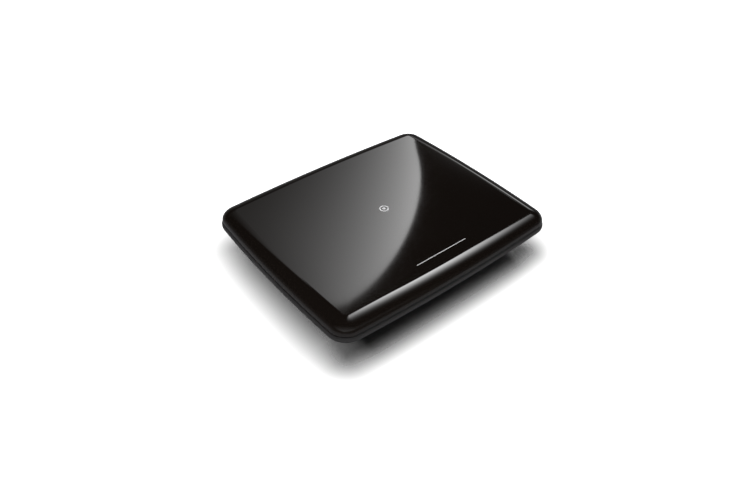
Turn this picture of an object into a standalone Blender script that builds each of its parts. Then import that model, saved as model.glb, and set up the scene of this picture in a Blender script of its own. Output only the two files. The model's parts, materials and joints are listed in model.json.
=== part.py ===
"""Portable disc player with a folding screen, closed: a thin pillow-shaped lid over an undercut base.

Frame: X to the right, Y to the back, Z up. The origin is under the middle of the player, on the
surface that its rubber feet stand on. Sizes are written in millimetres times MM, so in metres.
"""

import math

import bmesh
import bpy
from mathutils import Vector

MM = 0.001

# The outline seen from above: four gently bowed sides joined by round corners.
WIDTH = 190 * MM
DEPTH = 159 * MM
HEIGHT = 36.3 * MM
BOW_RADIUS_LONG = 1500 * MM  # front and back edges
BOW_RADIUS_SHORT = 1060 * MM  # left and right edges
CORNER_RADIUS = 14 * MM
LEAST_CORNER_RADIUS = 2 * MM
CORNER_STEPS = 6
SIDE_STEPS = 6
OUTLINE_Y = -0.7 * MM  # the hinge knuckles stand out behind, so the outline's centre is in front

FIT = 0.3 * MM  # gap between neighbours that touch on the real player
SLIP = 0.4 * MM  # gap round a key or a slider
OVER = 1 * MM  # how far a cutter passes the wall that it cuts

# Heights of the case.
FOOT_HEIGHT = 1.2 * MM
CASE_BOTTOM = 1.5 * MM
FLOOR_TOP = 3.5 * MM
SEAM = 20.0 * MM  # the lower case ends here, and the upper case starts FIT above
UNDERCUT_TOP = 23.0 * MM
RIM = (24.4 * MM, 25.4 * MM)  # the widest band
DECK_UNDER = 24.8 * MM
DECK_TOP = 26.6 * MM
LIP_TOP = 27.3 * MM
LID_BOTTOM = 27.8 * MM
LID_SIDE_TOP = 28.8 * MM
CREASE_HEIGHT = 35.5 * MM
LID_CEILING = 33.8 * MM

# How far the wall lies inside the widest outline.
UNDERCUT_INSET = 0.9 * MM
UNDERCUT_SLOPE = 0.95  # inset gained for each unit of drop below UNDERCUT_TOP
LIP_INSET = 0.8 * MM
LID_INSET = 0.9 * MM
CREASE_INSET = 11.2 * MM
WALL = 2.5 * MM  # measured level, so about 1.8 square to the sloping wall

# The lid's rounded edge is a flattened quarter ellipse that stops short of level, which leaves a crease.
CREASE_TURN = math.radians(78)
EDGE_STEPS = 7

# Lid hinge: its axis runs along X, in a cove of the upper case's back edge.
HINGE_Y = 77.1 * MM
HINGE_Z = 26.6 * MM
KNUCKLE_RADIUS = 3.1 * MM
KNUCKLE_BORE = 1.5 * MM
PIN_RADIUS = 1.2 * MM
COVE_RADIUS = 4.0 * MM
COVE_HALF = 70 * MM
COVE_WALL_Y = (70.8 * MM, 75.3 * MM)
LID_NOTCH_RADIUS = 3.7 * MM
BASE_KNUCKLE = (40 * MM, 50 * MM)
LID_KNUCKLE = (50.4 * MM, 60.4 * MM)

# Disc well and door, round the spindle.
SPINDLE = Vector((-19 * MM, -3 * MM))
WELL_RADIUS = 61.5 * MM
WELL_FLOOR = 19.2 * MM
WELL_UNDER = 17.4 * MM
WELL_WALL = 1.8 * MM
LEDGE_RADIUS = 67.4 * MM
LEDGE = (22.9 * MM, 24.5 * MM)
DOOR_RADIUS = 66.0 * MM
DOOR_GAP = 0.6 * MM
DOOR_TOP = 26.8 * MM
DOOR_TAB_HALF = 30 * MM
DOOR_HINGE_Y = 64.8 * MM
DOOR_HINGE_Z = 24.7 * MM
DOOR_BARREL_RADIUS = 2.1 * MM
DOOR_PIN_RADIUS = 0.9 * MM
DOOR_PIN_BORE = 1.2 * MM
TROUGH_FLOOR = 21.4 * MM
HUB_WAY_RADIUS = 16 * MM
LENS_WAY_HALF = 11 * MM

# Traverse: the plate that carries the spindle motor and the sled.
CHASSIS_Z = (8.8 * MM, 10.2 * MM)
SLED_Z = 13.5 * MM  # height of the rods and of the lead screw
ROD_RADIUS = 1.0 * MM
ROD_OFFSET = 24 * MM  # each rod's distance from the spindle's axis, in Y
ROD_X = (-9 * MM, 52 * MM)
SCREW_Y = 27.5 * MM
SCREW_RADIUS = 1.3 * MM
SCREW_START = -3.7 * MM
SLED_MOTOR_START = -18.5 * MM
SLED_MOTOR_RADIUS = 3.4 * MM
LENS_RADIUS = 2.4 * MM
MOTOR_RADIUS = 12 * MM
MOTOR_TOP = 15.8 * MM
LENS_X = 4 * MM  # at rest, over the disc's lead-in
SLED_TRAVEL = 33 * MM
POSTS = ((-44 * MM, -31 * MM), (-44 * MM, 25 * MM), (31.5 * MM, -3 * MM))

# Controls, in the deck's right-hand column.
KEY_TOP = 27.1 * MM
KEY_UNDER = 23.6 * MM
KEY_FLANGE = (1.2 * MM, 0.8 * MM)  # how far it stands out, and how thick
PAD_CENTRE = Vector((69.5 * MM, 20 * MM))
KEY_COLUMNS = (63 * MM, 76 * MM)
KEY_ROWS = (-4 * MM, -16 * MM, -28 * MM)
KEY_SIZE = (9 * MM, 5 * MM)
PAD_RADIUS = 11 * MM
ENTER_RADIUS = 3.6 * MM
ENTER_FLANGE_TOP = 24.6 * MM
DOOR_BUTTON = (62 * MM, -43 * MM)
REMOTE_WINDOW = (78 * MM, -43 * MM)

# Side panel that holds the sockets, upright in a window of the sloping wall.
PANEL_X = (82.4 * MM, 84.0 * MM)
PANEL_Z = (12.2 * MM, 19.0 * MM)
PANEL_HALF = 38 * MM
SOCKET_Z = 15.6 * MM
SIDE_PLACES = {
    "power_slider": 29 * MM,
    "volume_wheel": 14 * MM,
    "headphone_socket": 1 * MM,
    "video_socket": -8 * MM,
    "data_socket": -19 * MM,
    "power_socket": -31 * MM,
}
WHEEL_RADIUS = 7 * MM
WHEEL_X = 78.2 * MM
WHEEL_HALF_THICKNESS = 1.3 * MM
JACK_SIZE = (12 * MM, 3.4 * MM, 2.9 * MM)  # length inwards, then half of its width and height
POWER_JACK_SIZE = (11 * MM, 4.4 * MM, 2.9 * MM)

# Screen side of the lid.
SCREEN_CENTRE_Y = -12 * MM
SCREEN_HALF = (78 * MM, 44.5 * MM)
PANEL_BORDER = 4 * MM  # how far the LCD panel reaches behind the bezel
LCD_TOP = 33.0 * MM
BEZEL_Z = (28.1 * MM, 29.7 * MM)
BEZEL_INSET = 3.6 * MM
SPEAKER_CENTRE = (48 * MM, 53 * MM)
SPEAKER_SIZE = (36 * MM, 16 * MM)
SPEAKER_OPENING = (30 * MM, 11 * MM)
SPEAKER_TOP = 33.2 * MM
BUMPER_CENTRE = (83 * MM, -67 * MM)
BUMPER_RADIUS = 2 * MM
BUMPER_UNDER = 27.0 * MM
DISPLAY_BOARD = ((-22 * MM, 42 * MM, 30.4 * MM), (22 * MM, 66 * MM, 31.6 * MM))

# Fastenings: a screw in each corner of the case, through a lower boss into an upper boss.
BOSS_RADIUS = 3 * MM
LOWER_BOSS_TOP = 16.3 * MM
UPPER_BOSS_Z = (16.6 * MM, 25.2 * MM)
SCREW_HEAD_RECESS = (2.6 * MM, 3.9 * MM)  # radius, and height of its ceiling
SCREW_WAY_RADIUS = 1.5 * MM
THREAD_WAY = (1.4 * MM, 21.6 * MM)  # radius, and height of its end
FOOT_RADIUS = 5 * MM

# Boards and battery.
MAIN_BOARD_Z = (4.6 * MM, 6.2 * MM)
BATTERY_BOX = ((37 * MM, -43 * MM, 3.9 * MM), (67 * MM, 43 * MM, 8.4 * MM))
SOCKET_BOARD_BOX = ((62 * MM, -37 * MM, 11.1 * MM), (78.6 * MM, 35 * MM, 12.3 * MM))
KEY_BOARD_Z = (18.9 * MM, 20.0 * MM)
KEY_MAT_Z = (20.3 * MM, 21.1 * MM)
DOME_TOP = 22.4 * MM

CASE_SCREWS = tuple((x * MM, y * MM) for x in (-67, 67) for y in (-51, 51))
FEET = tuple((x * MM, y * MM) for x in (-56, 56) for y in (-44, 44))

COLOURS = {
    "gloss_black": ((0.006, 0.006, 0.006), 0.06, 0.0),
    "satin_black": ((0.015, 0.015, 0.016), 0.35, 0.0),
    "matte_black": ((0.022, 0.022, 0.023), 0.6, 0.0),
    "rubber_black": ((0.02, 0.02, 0.02), 0.85, 0.0),
    "screen_glass": ((0.01, 0.011, 0.013), 0.12, 0.0),
    "board_green": ((0.02, 0.12, 0.05), 0.5, 0.0),
    "battery_wrap": ((0.05, 0.09, 0.2), 0.45, 0.0),
    "steel": ((0.55, 0.55, 0.56), 0.3, 1.0),
    "key_silver": ((0.42, 0.42, 0.43), 0.35, 0.0),
    "white_plastic": ((0.75, 0.75, 0.72), 0.45, 0.0),
}


# ---------------------------------------------------------------- scene and materials


def clear_scene():
    for obj in list(bpy.data.objects):
        bpy.data.objects.remove(obj, do_unlink=True)


def new_collection(name):
    made = bpy.data.collections.new(name)
    bpy.context.scene.collection.children.link(made)
    return made


def material(name):
    found = bpy.data.materials.get(name)
    if found:
        return found
    colour, roughness, metallic = COLOURS[name]
    made = bpy.data.materials.new(name)
    made.use_nodes = True
    shader = made.node_tree.nodes["Principled BSDF"]
    shader.inputs["Base Color"].default_value = (*colour, 1)
    shader.inputs["Roughness"].default_value = roughness
    shader.inputs["Metallic"].default_value = metallic
    return made


clear_scene()
PLAYER = new_collection("portable_disc_player")
CUTTERS = new_collection("cutters_and_joined_shapes")


def place(obj, name, finish):
    """Names obj. With a finish it is a part of the player, and without one a helper that isn't rendered."""
    obj.name = name
    obj.data.name = name
    for owner in list(obj.users_collection):
        owner.objects.unlink(obj)
    (PLAYER if finish else CUTTERS).objects.link(obj)
    if finish:
        obj.data.materials.append(material(finish))
    else:
        obj.hide_render = True
        obj.display_type = "WIRE"
    return obj


def from_bmesh(name, bm, finish=None):
    bmesh.ops.recalc_face_normals(bm, faces=bm.faces)
    mesh = bpy.data.meshes.new(name)
    bm.to_mesh(mesh)
    bm.free()
    obj = place(bpy.data.objects.new(name, mesh), name, finish)
    mesh.shade_smooth()
    mesh.set_sharp_from_angle(angle=math.radians(35))
    return obj


# ---------------------------------------------------------------- simple shapes


def box(name, low, high, finish=None, bevel=0.0, segments=2):
    """A box between two corners, with its origin at its centre."""
    low, high = Vector(low), Vector(high)
    bm = bmesh.new()
    bmesh.ops.create_cube(bm, size=1)
    bmesh.ops.scale(bm, vec=high - low, verts=bm.verts)
    obj = from_bmesh(name, bm, finish)
    obj.location = (low + high) / 2
    if bevel:
        rounded = obj.modifiers.new("rounded_edges", "BEVEL")
        rounded.width = bevel
        rounded.segments = segments
    return obj


def cylinder(name, start, end, radius, finish=None, steps=32, end_radius=None):
    """A cylinder, or a cone with end_radius, from start to end, with its origin halfway."""
    start, end = Vector(start), Vector(end)
    along = end - start
    bm = bmesh.new()
    bmesh.ops.create_cone(
        bm,
        cap_ends=True,
        segments=steps,
        radius1=radius,
        radius2=radius if end_radius is None else end_radius,
        depth=along.length,
    )
    obj = from_bmesh(name, bm, finish)
    obj.rotation_mode = "QUATERNION"
    obj.rotation_quaternion = along.to_track_quat("Z", "Y")
    obj.location = (start + end) / 2
    return obj


def plate(name, loops, low, high, finish=None):
    """A flat piece from one outer loop of XY points and any hole loops, between two heights."""
    curve = bpy.data.curves.new(name + "_outline", "CURVE")
    curve.dimensions = "2D"
    curve.fill_mode = "BOTH"
    curve.extrude = (high - low) / 2
    for loop in loops:
        spline = curve.splines.new("POLY")
        spline.points.add(len(loop) - 1)
        for point, (x, y) in zip(spline.points, loop):
            point.co = (x, y, 0, 1)
        spline.use_cyclic_u = True
    outline_object = bpy.data.objects.new(name + "_outline", curve)
    CUTTERS.objects.link(outline_object)
    outline_object.location.z = (low + high) / 2
    bpy.context.view_layer.update()
    graph = bpy.context.evaluated_depsgraph_get()
    mesh = bpy.data.meshes.new_from_object(outline_object.evaluated_get(graph))
    matrix = outline_object.matrix_world.copy()
    bpy.data.objects.remove(outline_object)
    bm = bmesh.new()
    bm.from_mesh(mesh)
    bpy.data.meshes.remove(mesh)
    bmesh.ops.remove_doubles(bm, verts=bm.verts, dist=1e-6)
    obj = from_bmesh(name, bm, finish)
    obj.matrix_world = matrix
    return obj


def rectangle(low_x, low_y, high_x, high_y, radius=0.0, steps=4):
    """The XY loop of a rectangle, with round corners if radius isn't 0."""
    if not radius:
        return [(low_x, low_y), (high_x, low_y), (high_x, high_y), (low_x, high_y)]
    points = []
    corners = (
        (high_x - radius, high_y - radius, 0),
        (low_x + radius, high_y - radius, 90),
        (low_x + radius, low_y + radius, 180),
        (high_x - radius, low_y + radius, 270),
    )
    for centre_x, centre_y, start in corners:
        for step in range(steps + 1):
            angle = math.radians(start + 90 * step / steps)
            points.append((centre_x + radius * math.cos(angle), centre_y + radius * math.sin(angle)))
    return points


def pill(centre, size):
    half_x, half_y = size[0] / 2, size[1] / 2
    return rectangle(
        centre[0] - half_x,
        centre[1] - half_y,
        centre[0] + half_x,
        centre[1] + half_y,
        min(half_x, half_y) * 0.98,
        5,
    )


def circle(centre, radius, steps=48):
    turn = 2 * math.pi / steps
    return [
        (centre[0] + radius * math.cos(turn * i), centre[1] + radius * math.sin(turn * i))
        for i in range(steps)
    ]


def combine(obj, other, operation):
    modifier = obj.modifiers.new(other.name, "BOOLEAN")
    modifier.operation = operation
    modifier.object = other
    modifier.solver = "EXACT"


def cut(obj, *cutters):
    for cutter in cutters:
        combine(obj, cutter, "DIFFERENCE")


def join(obj, *others):
    for other in others:
        combine(obj, other, "UNION")


# ---------------------------------------------------------------- the bowed outline


def corner_centre(inset, radius):
    """Centre of the corner arc, at +X +Y, that is tangent to the right-hand and back arcs inset by inset."""
    back = Vector((0, DEPTH / 2 - BOW_RADIUS_LONG))
    right = Vector((WIDTH / 2 - BOW_RADIUS_SHORT, 0))
    reach_back = BOW_RADIUS_LONG - inset - radius
    reach_right = BOW_RADIUS_SHORT - inset - radius
    between = right - back
    along = (reach_back**2 - reach_right**2 + between.length_squared) / (2 * between.length)
    aside = math.sqrt(reach_back**2 - along**2)
    direction = between.normalized()
    outward = Vector((direction.y, -direction.x))
    return back + direction * along + outward * aside


def bearing(vector):
    return math.atan2(vector.y, vector.x)


def ring(inset, height):
    """The case's outline, moved in by inset, as points at one height, anticlockwise from above."""
    radius = max(CORNER_RADIUS - inset, LEAST_CORNER_RADIUS)
    corner = corner_centre(inset, radius)
    back = Vector((0, DEPTH / 2 - BOW_RADIUS_LONG))
    right = Vector((WIDTH / 2 - BOW_RADIUS_SHORT, 0))
    to_right = bearing(corner - right)
    to_back = bearing(corner - back)
    quarter = []
    for step in range(CORNER_STEPS + 1):
        angle = to_right + (to_back - to_right) * step / CORNER_STEPS
        quarter.append(corner + radius * Vector((math.cos(angle), math.sin(angle))))
    back_side = []
    for step in range(1, SIDE_STEPS):
        angle = to_back + (math.pi - 2 * to_back) * step / SIDE_STEPS
        back_side.append(back + (BOW_RADIUS_LONG - inset) * Vector((math.cos(angle), math.sin(angle))))
    left_side = []
    for step in range(1, SIDE_STEPS):
        angle = to_right - 2 * to_right * step / SIDE_STEPS
        point = right + (BOW_RADIUS_SHORT - inset) * Vector((math.cos(angle), math.sin(angle)))
        left_side.append(Vector((-point.x, point.y)))
    half = (
        quarter
        + back_side
        + [Vector((-p.x, p.y)) for p in reversed(quarter)]
        + left_side
    )
    whole = half + [Vector((-p.x, -p.y)) for p in half]
    return [Vector((p.x, p.y + OUTLINE_Y, height)) for p in whole]


def loft(name, rings, finish=None):
    """A solid through rings of equal length, capped at both ends. A single point may stand for the
    last ring: a low dome's top."""
    bm = bmesh.new()
    rows = [[bm.verts.new(p) for p in points] for points in rings]
    for lower, upper in zip(rows, rows[1:]):
        count = max(len(lower), len(upper))
        for i in range(count):
            a, b = lower[i % len(lower)], lower[(i + 1) % len(lower)]
            c, d = upper[(i + 1) % len(upper)], upper[i % len(upper)]
            corners = [v for n, v in enumerate((a, b, c, d)) if v not in (a, b, c, d)[:n]]
            bm.faces.new(corners)
    for row in (rows[0], rows[-1]):
        if len(row) > 2:
            bm.faces.new(row)
    return from_bmesh(name, bm, finish)


def turned(name, profile, centre, finish=None, steps=32):
    """A solid of revolution about the vertical through centre. The profile is (radius, height) pairs
    that run down the outer side, and start and end on the axis."""
    mesh = bpy.data.meshes.new(name)
    edges = [(i, i + 1) for i in range(len(profile) - 1)]
    mesh.from_pydata([(radius, 0, height) for radius, height in profile], edges, [])
    obj = place(bpy.data.objects.new(name, mesh), name, finish)
    obj.location = (centre[0], centre[1], 0)
    screw = obj.modifiers.new("turn", "SCREW")
    screw.steps = steps
    screw.render_steps = steps
    screw.use_merge_vertices = True
    screw.merge_threshold = 0.00001
    screw.use_smooth_shade = False
    return obj


def undercut(height):
    """How far the sloping lower wall lies inside the widest outline at this height."""
    return UNDERCUT_INSET + (UNDERCUT_TOP - height) * UNDERCUT_SLOPE


# ---------------------------------------------------------------- lid


def lid_edge():
    """The lid's rounded edge, from its side up to the crease, as (inset, height) pairs."""
    width = (CREASE_INSET - LID_INSET) / (1 - math.cos(CREASE_TURN))
    height = (CREASE_HEIGHT - LID_SIDE_TOP) / math.sin(CREASE_TURN)
    pairs = []
    for step in range(EDGE_STEPS + 1):
        turn = CREASE_TURN * step / EDGE_STEPS
        pairs.append((LID_INSET + width * (1 - math.cos(turn)), LID_SIDE_TOP + height * math.sin(turn)))
    return pairs


def make_lid_cover():
    inside = ((13, LID_CEILING / MM), (8, 33.4), (5, 32.2), (3.4, 30.6), (2.9, 28.8), (2.9, 27.8))
    lip = ((1.3, 27.8), (1.0, 28.1))
    crown = ((30, 36.0), (52, 36.25))
    rings = [ring(inset * MM, height * MM) for inset, height in inside + lip]
    rings += [ring(inset, height) for inset, height in lid_edge()]
    rings += [ring(inset * MM, height * MM) for inset, height in crown]
    rings.append([Vector((0, 0, HEIGHT))])
    lid = loft("lid_cover", rings, "gloss_black")
    for side in (-1, 1):
        notch_ends = (side * (BASE_KNUCKLE[0] - SLIP), side * LID_KNUCKLE[0])
        notch = hinge_cylinder("lid_notch", *notch_ends, LID_NOTCH_RADIUS)
        knuckle_ends = [side * x for x in LID_KNUCKLE]
        knuckle = hinge_cylinder("lid_knuckle", *knuckle_ends, KNUCKLE_RADIUS)
        bore = hinge_cylinder(
            "lid_knuckle_bore",
            side * (LID_KNUCKLE[0] - OVER),
            side * (LID_KNUCKLE[1] - 2 * OVER),
            KNUCKLE_BORE,
        )
        cut(lid, notch)
        join(lid, knuckle)
        cut(lid, bore)
    return lid


def hinge_cylinder(name, start_x, end_x, radius, finish=None, steps=24):
    return cylinder(
        name, (start_x, HINGE_Y, HINGE_Z), (end_x, HINGE_Y, HINGE_Z), radius, finish, steps
    )


def make_hinge_pins():
    for name, side in (("left_hinge_pin", -1), ("right_hinge_pin", 1)):
        start = side * (BASE_KNUCKLE[0] + 2 * OVER + FIT)
        end = side * (LID_KNUCKLE[1] - 2 * OVER - FIT)
        hinge_cylinder(name, start, end, PIN_RADIUS, "steel", 16)


def make_screen_parts():
    outer = [(p.x, p.y) for p in ring(BEZEL_INSET, 0)]
    half_x, half_y = SCREEN_HALF
    window = rectangle(-half_x, SCREEN_CENTRE_Y - half_y, half_x, SCREEN_CENTRE_Y + half_y)
    bezel = plate("screen_bezel", [outer, window], *BEZEL_Z, "satin_black")
    for side in (-1, 1):
        ends = (side * (BASE_KNUCKLE[0] - SLIP), side * (LID_KNUCKLE[1] + SLIP))
        cut(bezel, hinge_cylinder("bezel_notch", *ends, COVE_RADIUS))

    box(
        "lcd_panel",
        (-half_x - PANEL_BORDER, SCREEN_CENTRE_Y - half_y - PANEL_BORDER, BEZEL_Z[1] + FIT),
        (half_x + PANEL_BORDER, SCREEN_CENTRE_Y + half_y + PANEL_BORDER, LCD_TOP),
        "screen_glass",
    )
    box("display_board", *DISPLAY_BOARD, "board_green")
    for name, side in (("left_speaker", -1), ("right_speaker", 1)):
        centre = (side * SPEAKER_CENTRE[0], SPEAKER_CENTRE[1])
        plate(name, [pill(centre, SPEAKER_SIZE)], BEZEL_Z[1] + FIT, SPEAKER_TOP, "matte_black")
        opening = pill(centre, SPEAKER_OPENING)
        cut(bezel, plate("grille_opening", [opening], BEZEL_Z[0] - OVER, BEZEL_Z[1] + 0.1 * MM))
    for name, side in (("left_bumper", -1), ("right_bumper", 1)):
        centre = (side * BUMPER_CENTRE[0], BUMPER_CENTRE[1])
        top = BEZEL_Z[0] - FIT
        cylinder(name, (*centre, BUMPER_UNDER), (*centre, top), BUMPER_RADIUS, "rubber_black", 16)


# ---------------------------------------------------------------- case shells


def make_lower_case():
    profile = (
        (undercut(CASE_BOTTOM) + 0.8 * MM, CASE_BOTTOM),
        (undercut(CASE_BOTTOM + 0.8 * MM), CASE_BOTTOM + 0.8 * MM),
        (undercut(SEAM), SEAM),
        (undercut(SEAM) + WALL, SEAM),
        (undercut(FLOOR_TOP) + WALL, FLOOR_TOP),
    )
    case = loft("lower_case", [ring(inset, height) for inset, height in profile], "satin_black")
    for centre in CASE_SCREWS:
        boss_foot, boss_head = (*centre, FLOOR_TOP - 0.5 * MM), (*centre, LOWER_BOSS_TOP)
        join(case, cylinder("screw_boss", boss_foot, boss_head, BOSS_RADIUS, None, 16))
        recess_radius, recess_top = SCREW_HEAD_RECESS
        cut(case, cylinder("screw_recess", (*centre, 0), (*centre, recess_top), recess_radius, None, 16))
        way_top = (*centre, LOWER_BOSS_TOP + OVER)
        cut(case, cylinder("screw_way", boss_foot, way_top, SCREW_WAY_RADIUS, None, 12))
    for centre in POSTS:
        join(case, cylinder("damper_post", (*centre, 3 * MM), (*centre, 7.2 * MM), 3 * MM, None, 16))
        join(case, cylinder("damper_pin", (*centre, 6 * MM), (*centre, 11 * MM), 1.2 * MM, None, 12))
    window = box(
        "panel_window",
        (78 * MM, -PANEL_HALF - FIT, PANEL_Z[0] - FIT),
        (100 * MM, PANEL_HALF + FIT, PANEL_Z[1] + FIT),
    )
    cut(case, window)
    return case


def door_outline(extra, back):
    """The disc door's outline, grown by extra, with its hinge tab ending at the height back in Y."""
    radius = DOOR_RADIUS + extra
    half = DOOR_TAB_HALF + extra
    start = math.acos(half / radius)
    steps = 60
    points = []
    for step in range(steps + 1):
        angle = math.pi - start + (math.pi + 2 * start) * step / steps
        points.append((SPINDLE.x + radius * math.cos(angle), SPINDLE.y + radius * math.sin(angle)))
    return points + [(SPINDLE.x + half, back), (SPINDLE.x - half, back)]


def make_upper_case():
    profile = (
        (3.3 * MM, DECK_TOP),
        (3.0 * MM, LIP_TOP),
        (LIP_INSET, LIP_TOP),
        (0.3 * MM, 26.5 * MM),
        (0, RIM[1]),
        (0, RIM[0]),
        (0.3 * MM, 23.7 * MM),
        (UNDERCUT_INSET, UNDERCUT_TOP),
        (undercut(SEAM + FIT), SEAM + FIT),
        (undercut(SEAM + FIT) + WALL, SEAM + FIT),
        (3.0 * MM, 23.2 * MM),
        (2.8 * MM, DECK_UNDER),
    )
    case = loft("upper_case", [ring(inset, height) for inset, height in profile], "satin_black")

    cove_wall = box(
        "cove_wall",
        (-COVE_HALF - 1.5 * MM, COVE_WALL_Y[0], SEAM + FIT),
        (COVE_HALF + 1.5 * MM, COVE_WALL_Y[1], DECK_TOP),
    )
    join(case, cove_wall)
    cut(case, hinge_cylinder("cove", -COVE_HALF, COVE_HALF, COVE_RADIUS, None, 32))
    for side in (-1, 1):
        start, end = (side * x for x in BASE_KNUCKLE)
        web = box(
            "knuckle_web",
            (min(start, end), COVE_WALL_Y[0] + OVER, 22 * MM),
            (max(start, end), HINGE_Y, HINGE_Z),
        )
        bore_ends = (start + side * 2 * OVER, end + side * OVER)
        bore = hinge_cylinder("base_knuckle_bore", *bore_ends, KNUCKLE_BORE)
        join(case, web, hinge_cylinder("base_knuckle", start, end, KNUCKLE_RADIUS))
        cut(case, bore)

    for centre in CASE_SCREWS:
        boss_foot, boss_head = ((*centre, height) for height in UPPER_BOSS_Z)
        join(case, cylinder("upper_boss", boss_foot, boss_head, BOSS_RADIUS, None, 16))
        way_radius, way_top = THREAD_WAY
        below = (*centre, UPPER_BOSS_Z[0] - OVER)
        cut(case, cylinder("screw_thread_way", below, (*centre, way_top), way_radius, None, 12))

    door_hole = door_outline(DOOR_GAP, DOOR_HINGE_Y + DOOR_BARREL_RADIUS + SLIP)
    cut(case, plate("door_hole", [door_hole], DECK_UNDER - OVER, LIP_TOP + OVER))
    for side in (-1, 1):
        start = SPINDLE.x + side * (DOOR_TAB_HALF + DOOR_GAP)
        end = start + side * 4 * MM
        block = box(
            "door_bearing",
            (min(start, end), DOOR_HINGE_Y - 2.4 * MM, 22.6 * MM),
            (max(start, end), DOOR_HINGE_Y + 2.4 * MM, 25.6 * MM),
        )
        join(case, block)
    pin_reach = DOOR_TAB_HALF + DOOR_GAP + 3 * MM
    pin_way = cylinder(
        "door_pin_way",
        (SPINDLE.x - pin_reach, DOOR_HINGE_Y, DOOR_HINGE_Z),
        (SPINDLE.x + pin_reach, DOOR_HINGE_Y, DOOR_HINGE_Z),
        DOOR_PIN_BORE,
        None,
        12,
    )
    cut(case, pin_way)
    for outline in key_outlines(SLIP).values():
        cut(case, plate("key_hole", [outline], DECK_UNDER - OVER, LIP_TOP + OVER))
    return case


# ---------------------------------------------------------------- disc well and door


def make_disc_well():
    inner, outer = WELL_RADIUS, WELL_RADIUS + WELL_WALL
    profile = (
        (0, WELL_FLOOR),
        (inner, WELL_FLOOR),
        (inner, LEDGE[1]),
        (LEDGE_RADIUS, LEDGE[1]),
        (LEDGE_RADIUS, LEDGE[0]),
        (outer, LEDGE[0]),
        (outer, WELL_UNDER),
        (0, WELL_UNDER),
    )
    well = turned("disc_well", profile, SPINDLE, "satin_black", 56)
    half = DOOR_TAB_HALF + 5.6 * MM
    trough = box(
        "trough",
        (SPINDLE.x - half, 58 * MM, TROUGH_FLOOR - 1.4 * MM),
        (SPINDLE.x + half, 69.4 * MM, LEDGE[1]),
    )
    trough_inside = box(
        "trough_inside",
        (SPINDLE.x - half + 0.7 * MM, 61.4 * MM, TROUGH_FLOOR),
        (SPINDLE.x + half - 0.7 * MM, 68 * MM, LEDGE[1] + OVER),
    )
    bowl = cylinder("bowl", (*SPINDLE, WELL_FLOOR), (*SPINDLE, 30 * MM), WELL_RADIUS, None, 56)
    join(well, trough)
    cut(well, trough_inside, bowl)
    slot_end = SPINDLE.x + WELL_RADIUS - 0.4 * MM
    below, above = WELL_UNDER - OVER, WELL_FLOOR + FIT
    hub_way = cylinder("hub_way", (*SPINDLE, below), (*SPINDLE, above), HUB_WAY_RADIUS)
    lens_way = box(
        "lens_way",
        (SPINDLE.x, SPINDLE.y - LENS_WAY_HALF, below),
        (slot_end, SPINDLE.y + LENS_WAY_HALF, above),
    )
    cut(well, hub_way, lens_way)
    for x, y in CASE_SCREWS[:2]:
        way_ends = ((x, y, LEDGE[0] - OVER), (x, y, LEDGE[1] + OVER))
        cut(well, cylinder("boss_way", *way_ends, BOSS_RADIUS + 0.5 * MM, None, 16))
    return well


def make_disc_door():
    outline = door_outline(0, DOOR_HINGE_Y)
    door = plate("disc_door", [outline], DECK_UNDER, DOOR_TOP, "gloss_black")
    start, end = SPINDLE.x - DOOR_TAB_HALF, SPINDLE.x + DOOR_TAB_HALF
    barrel = cylinder(
        "door_barrel",
        (start, DOOR_HINGE_Y, DOOR_HINGE_Z),
        (end, DOOR_HINGE_Y, DOOR_HINGE_Z),
        DOOR_BARREL_RADIUS,
        None,
        24,
    )
    way = cylinder(
        "barrel_way",
        (start - OVER, DOOR_HINGE_Y, DOOR_HINGE_Z),
        (end + OVER, DOOR_HINGE_Y, DOOR_HINGE_Z),
        DOOR_PIN_BORE,
        None,
        12,
    )
    join(door, barrel)
    cut(door, way)
    reach = DOOR_TAB_HALF + DOOR_GAP + 3 * MM - FIT
    cylinder(
        "door_hinge_pin",
        (SPINDLE.x - reach, DOOR_HINGE_Y, DOOR_HINGE_Z),
        (SPINDLE.x + reach, DOOR_HINGE_Y, DOOR_HINGE_Z),
        DOOR_PIN_RADIUS,
        "steel",
        12,
    )
    return door


# ---------------------------------------------------------------- disc drive


def make_chassis():
    low, high = CHASSIS_Z
    outline = rectangle(-52 * MM, -39 * MM, 57 * MM, 33 * MM, 4 * MM)
    holes = [circle(centre, 3.2 * MM, 24) for centre in POSTS]
    motor_way = rectangle(-20 * MM, 23.6 * MM, -3.4 * MM, 31.4 * MM)
    chassis = plate("drive_chassis", [outline, *holes, motor_way], low, high, "steel")
    thick = 3 * MM
    block_ends = ((ROD_X[0] - FIT - thick, ROD_X[0] - FIT), (ROD_X[1] + FIT, ROD_X[1] + FIT + thick))
    for y in (SPINDLE.y - ROD_OFFSET, SPINDLE.y + ROD_OFFSET):
        for start, end in block_ends:
            block = box(
                "rod_block",
                (start, y - 2.5 * MM, low + 0.4 * MM),
                (end, y + 2.5 * MM, SLED_Z + 1.6 * MM),
            )
            join(chassis, block)
    return chassis


def make_dampers():
    """Rubber spools that hold the chassis on three posts of the lower case."""
    low, high = CHASSIS_Z
    neck, flange, bore = 2.9 * MM, 4.6 * MM, 1.5 * MM
    for index, centre in enumerate(POSTS, 1):
        name = f"rubber_damper_{index}"
        damper = turned(
            name,
            (
                (0, high + 0.9 * MM),
                (flange, high + 0.9 * MM),
                (flange, high + FIT),
                (neck, high + FIT),
                (neck, low - FIT),
                (flange, low - FIT),
                (flange, 7.5 * MM),
                (0, 7.5 * MM),
            ),
            centre,
            "rubber_black",
            24,
        )
        cut(damper, cylinder("damper_bore", (*centre, 6 * MM), (*centre, 13 * MM), bore, None, 12))


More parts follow.
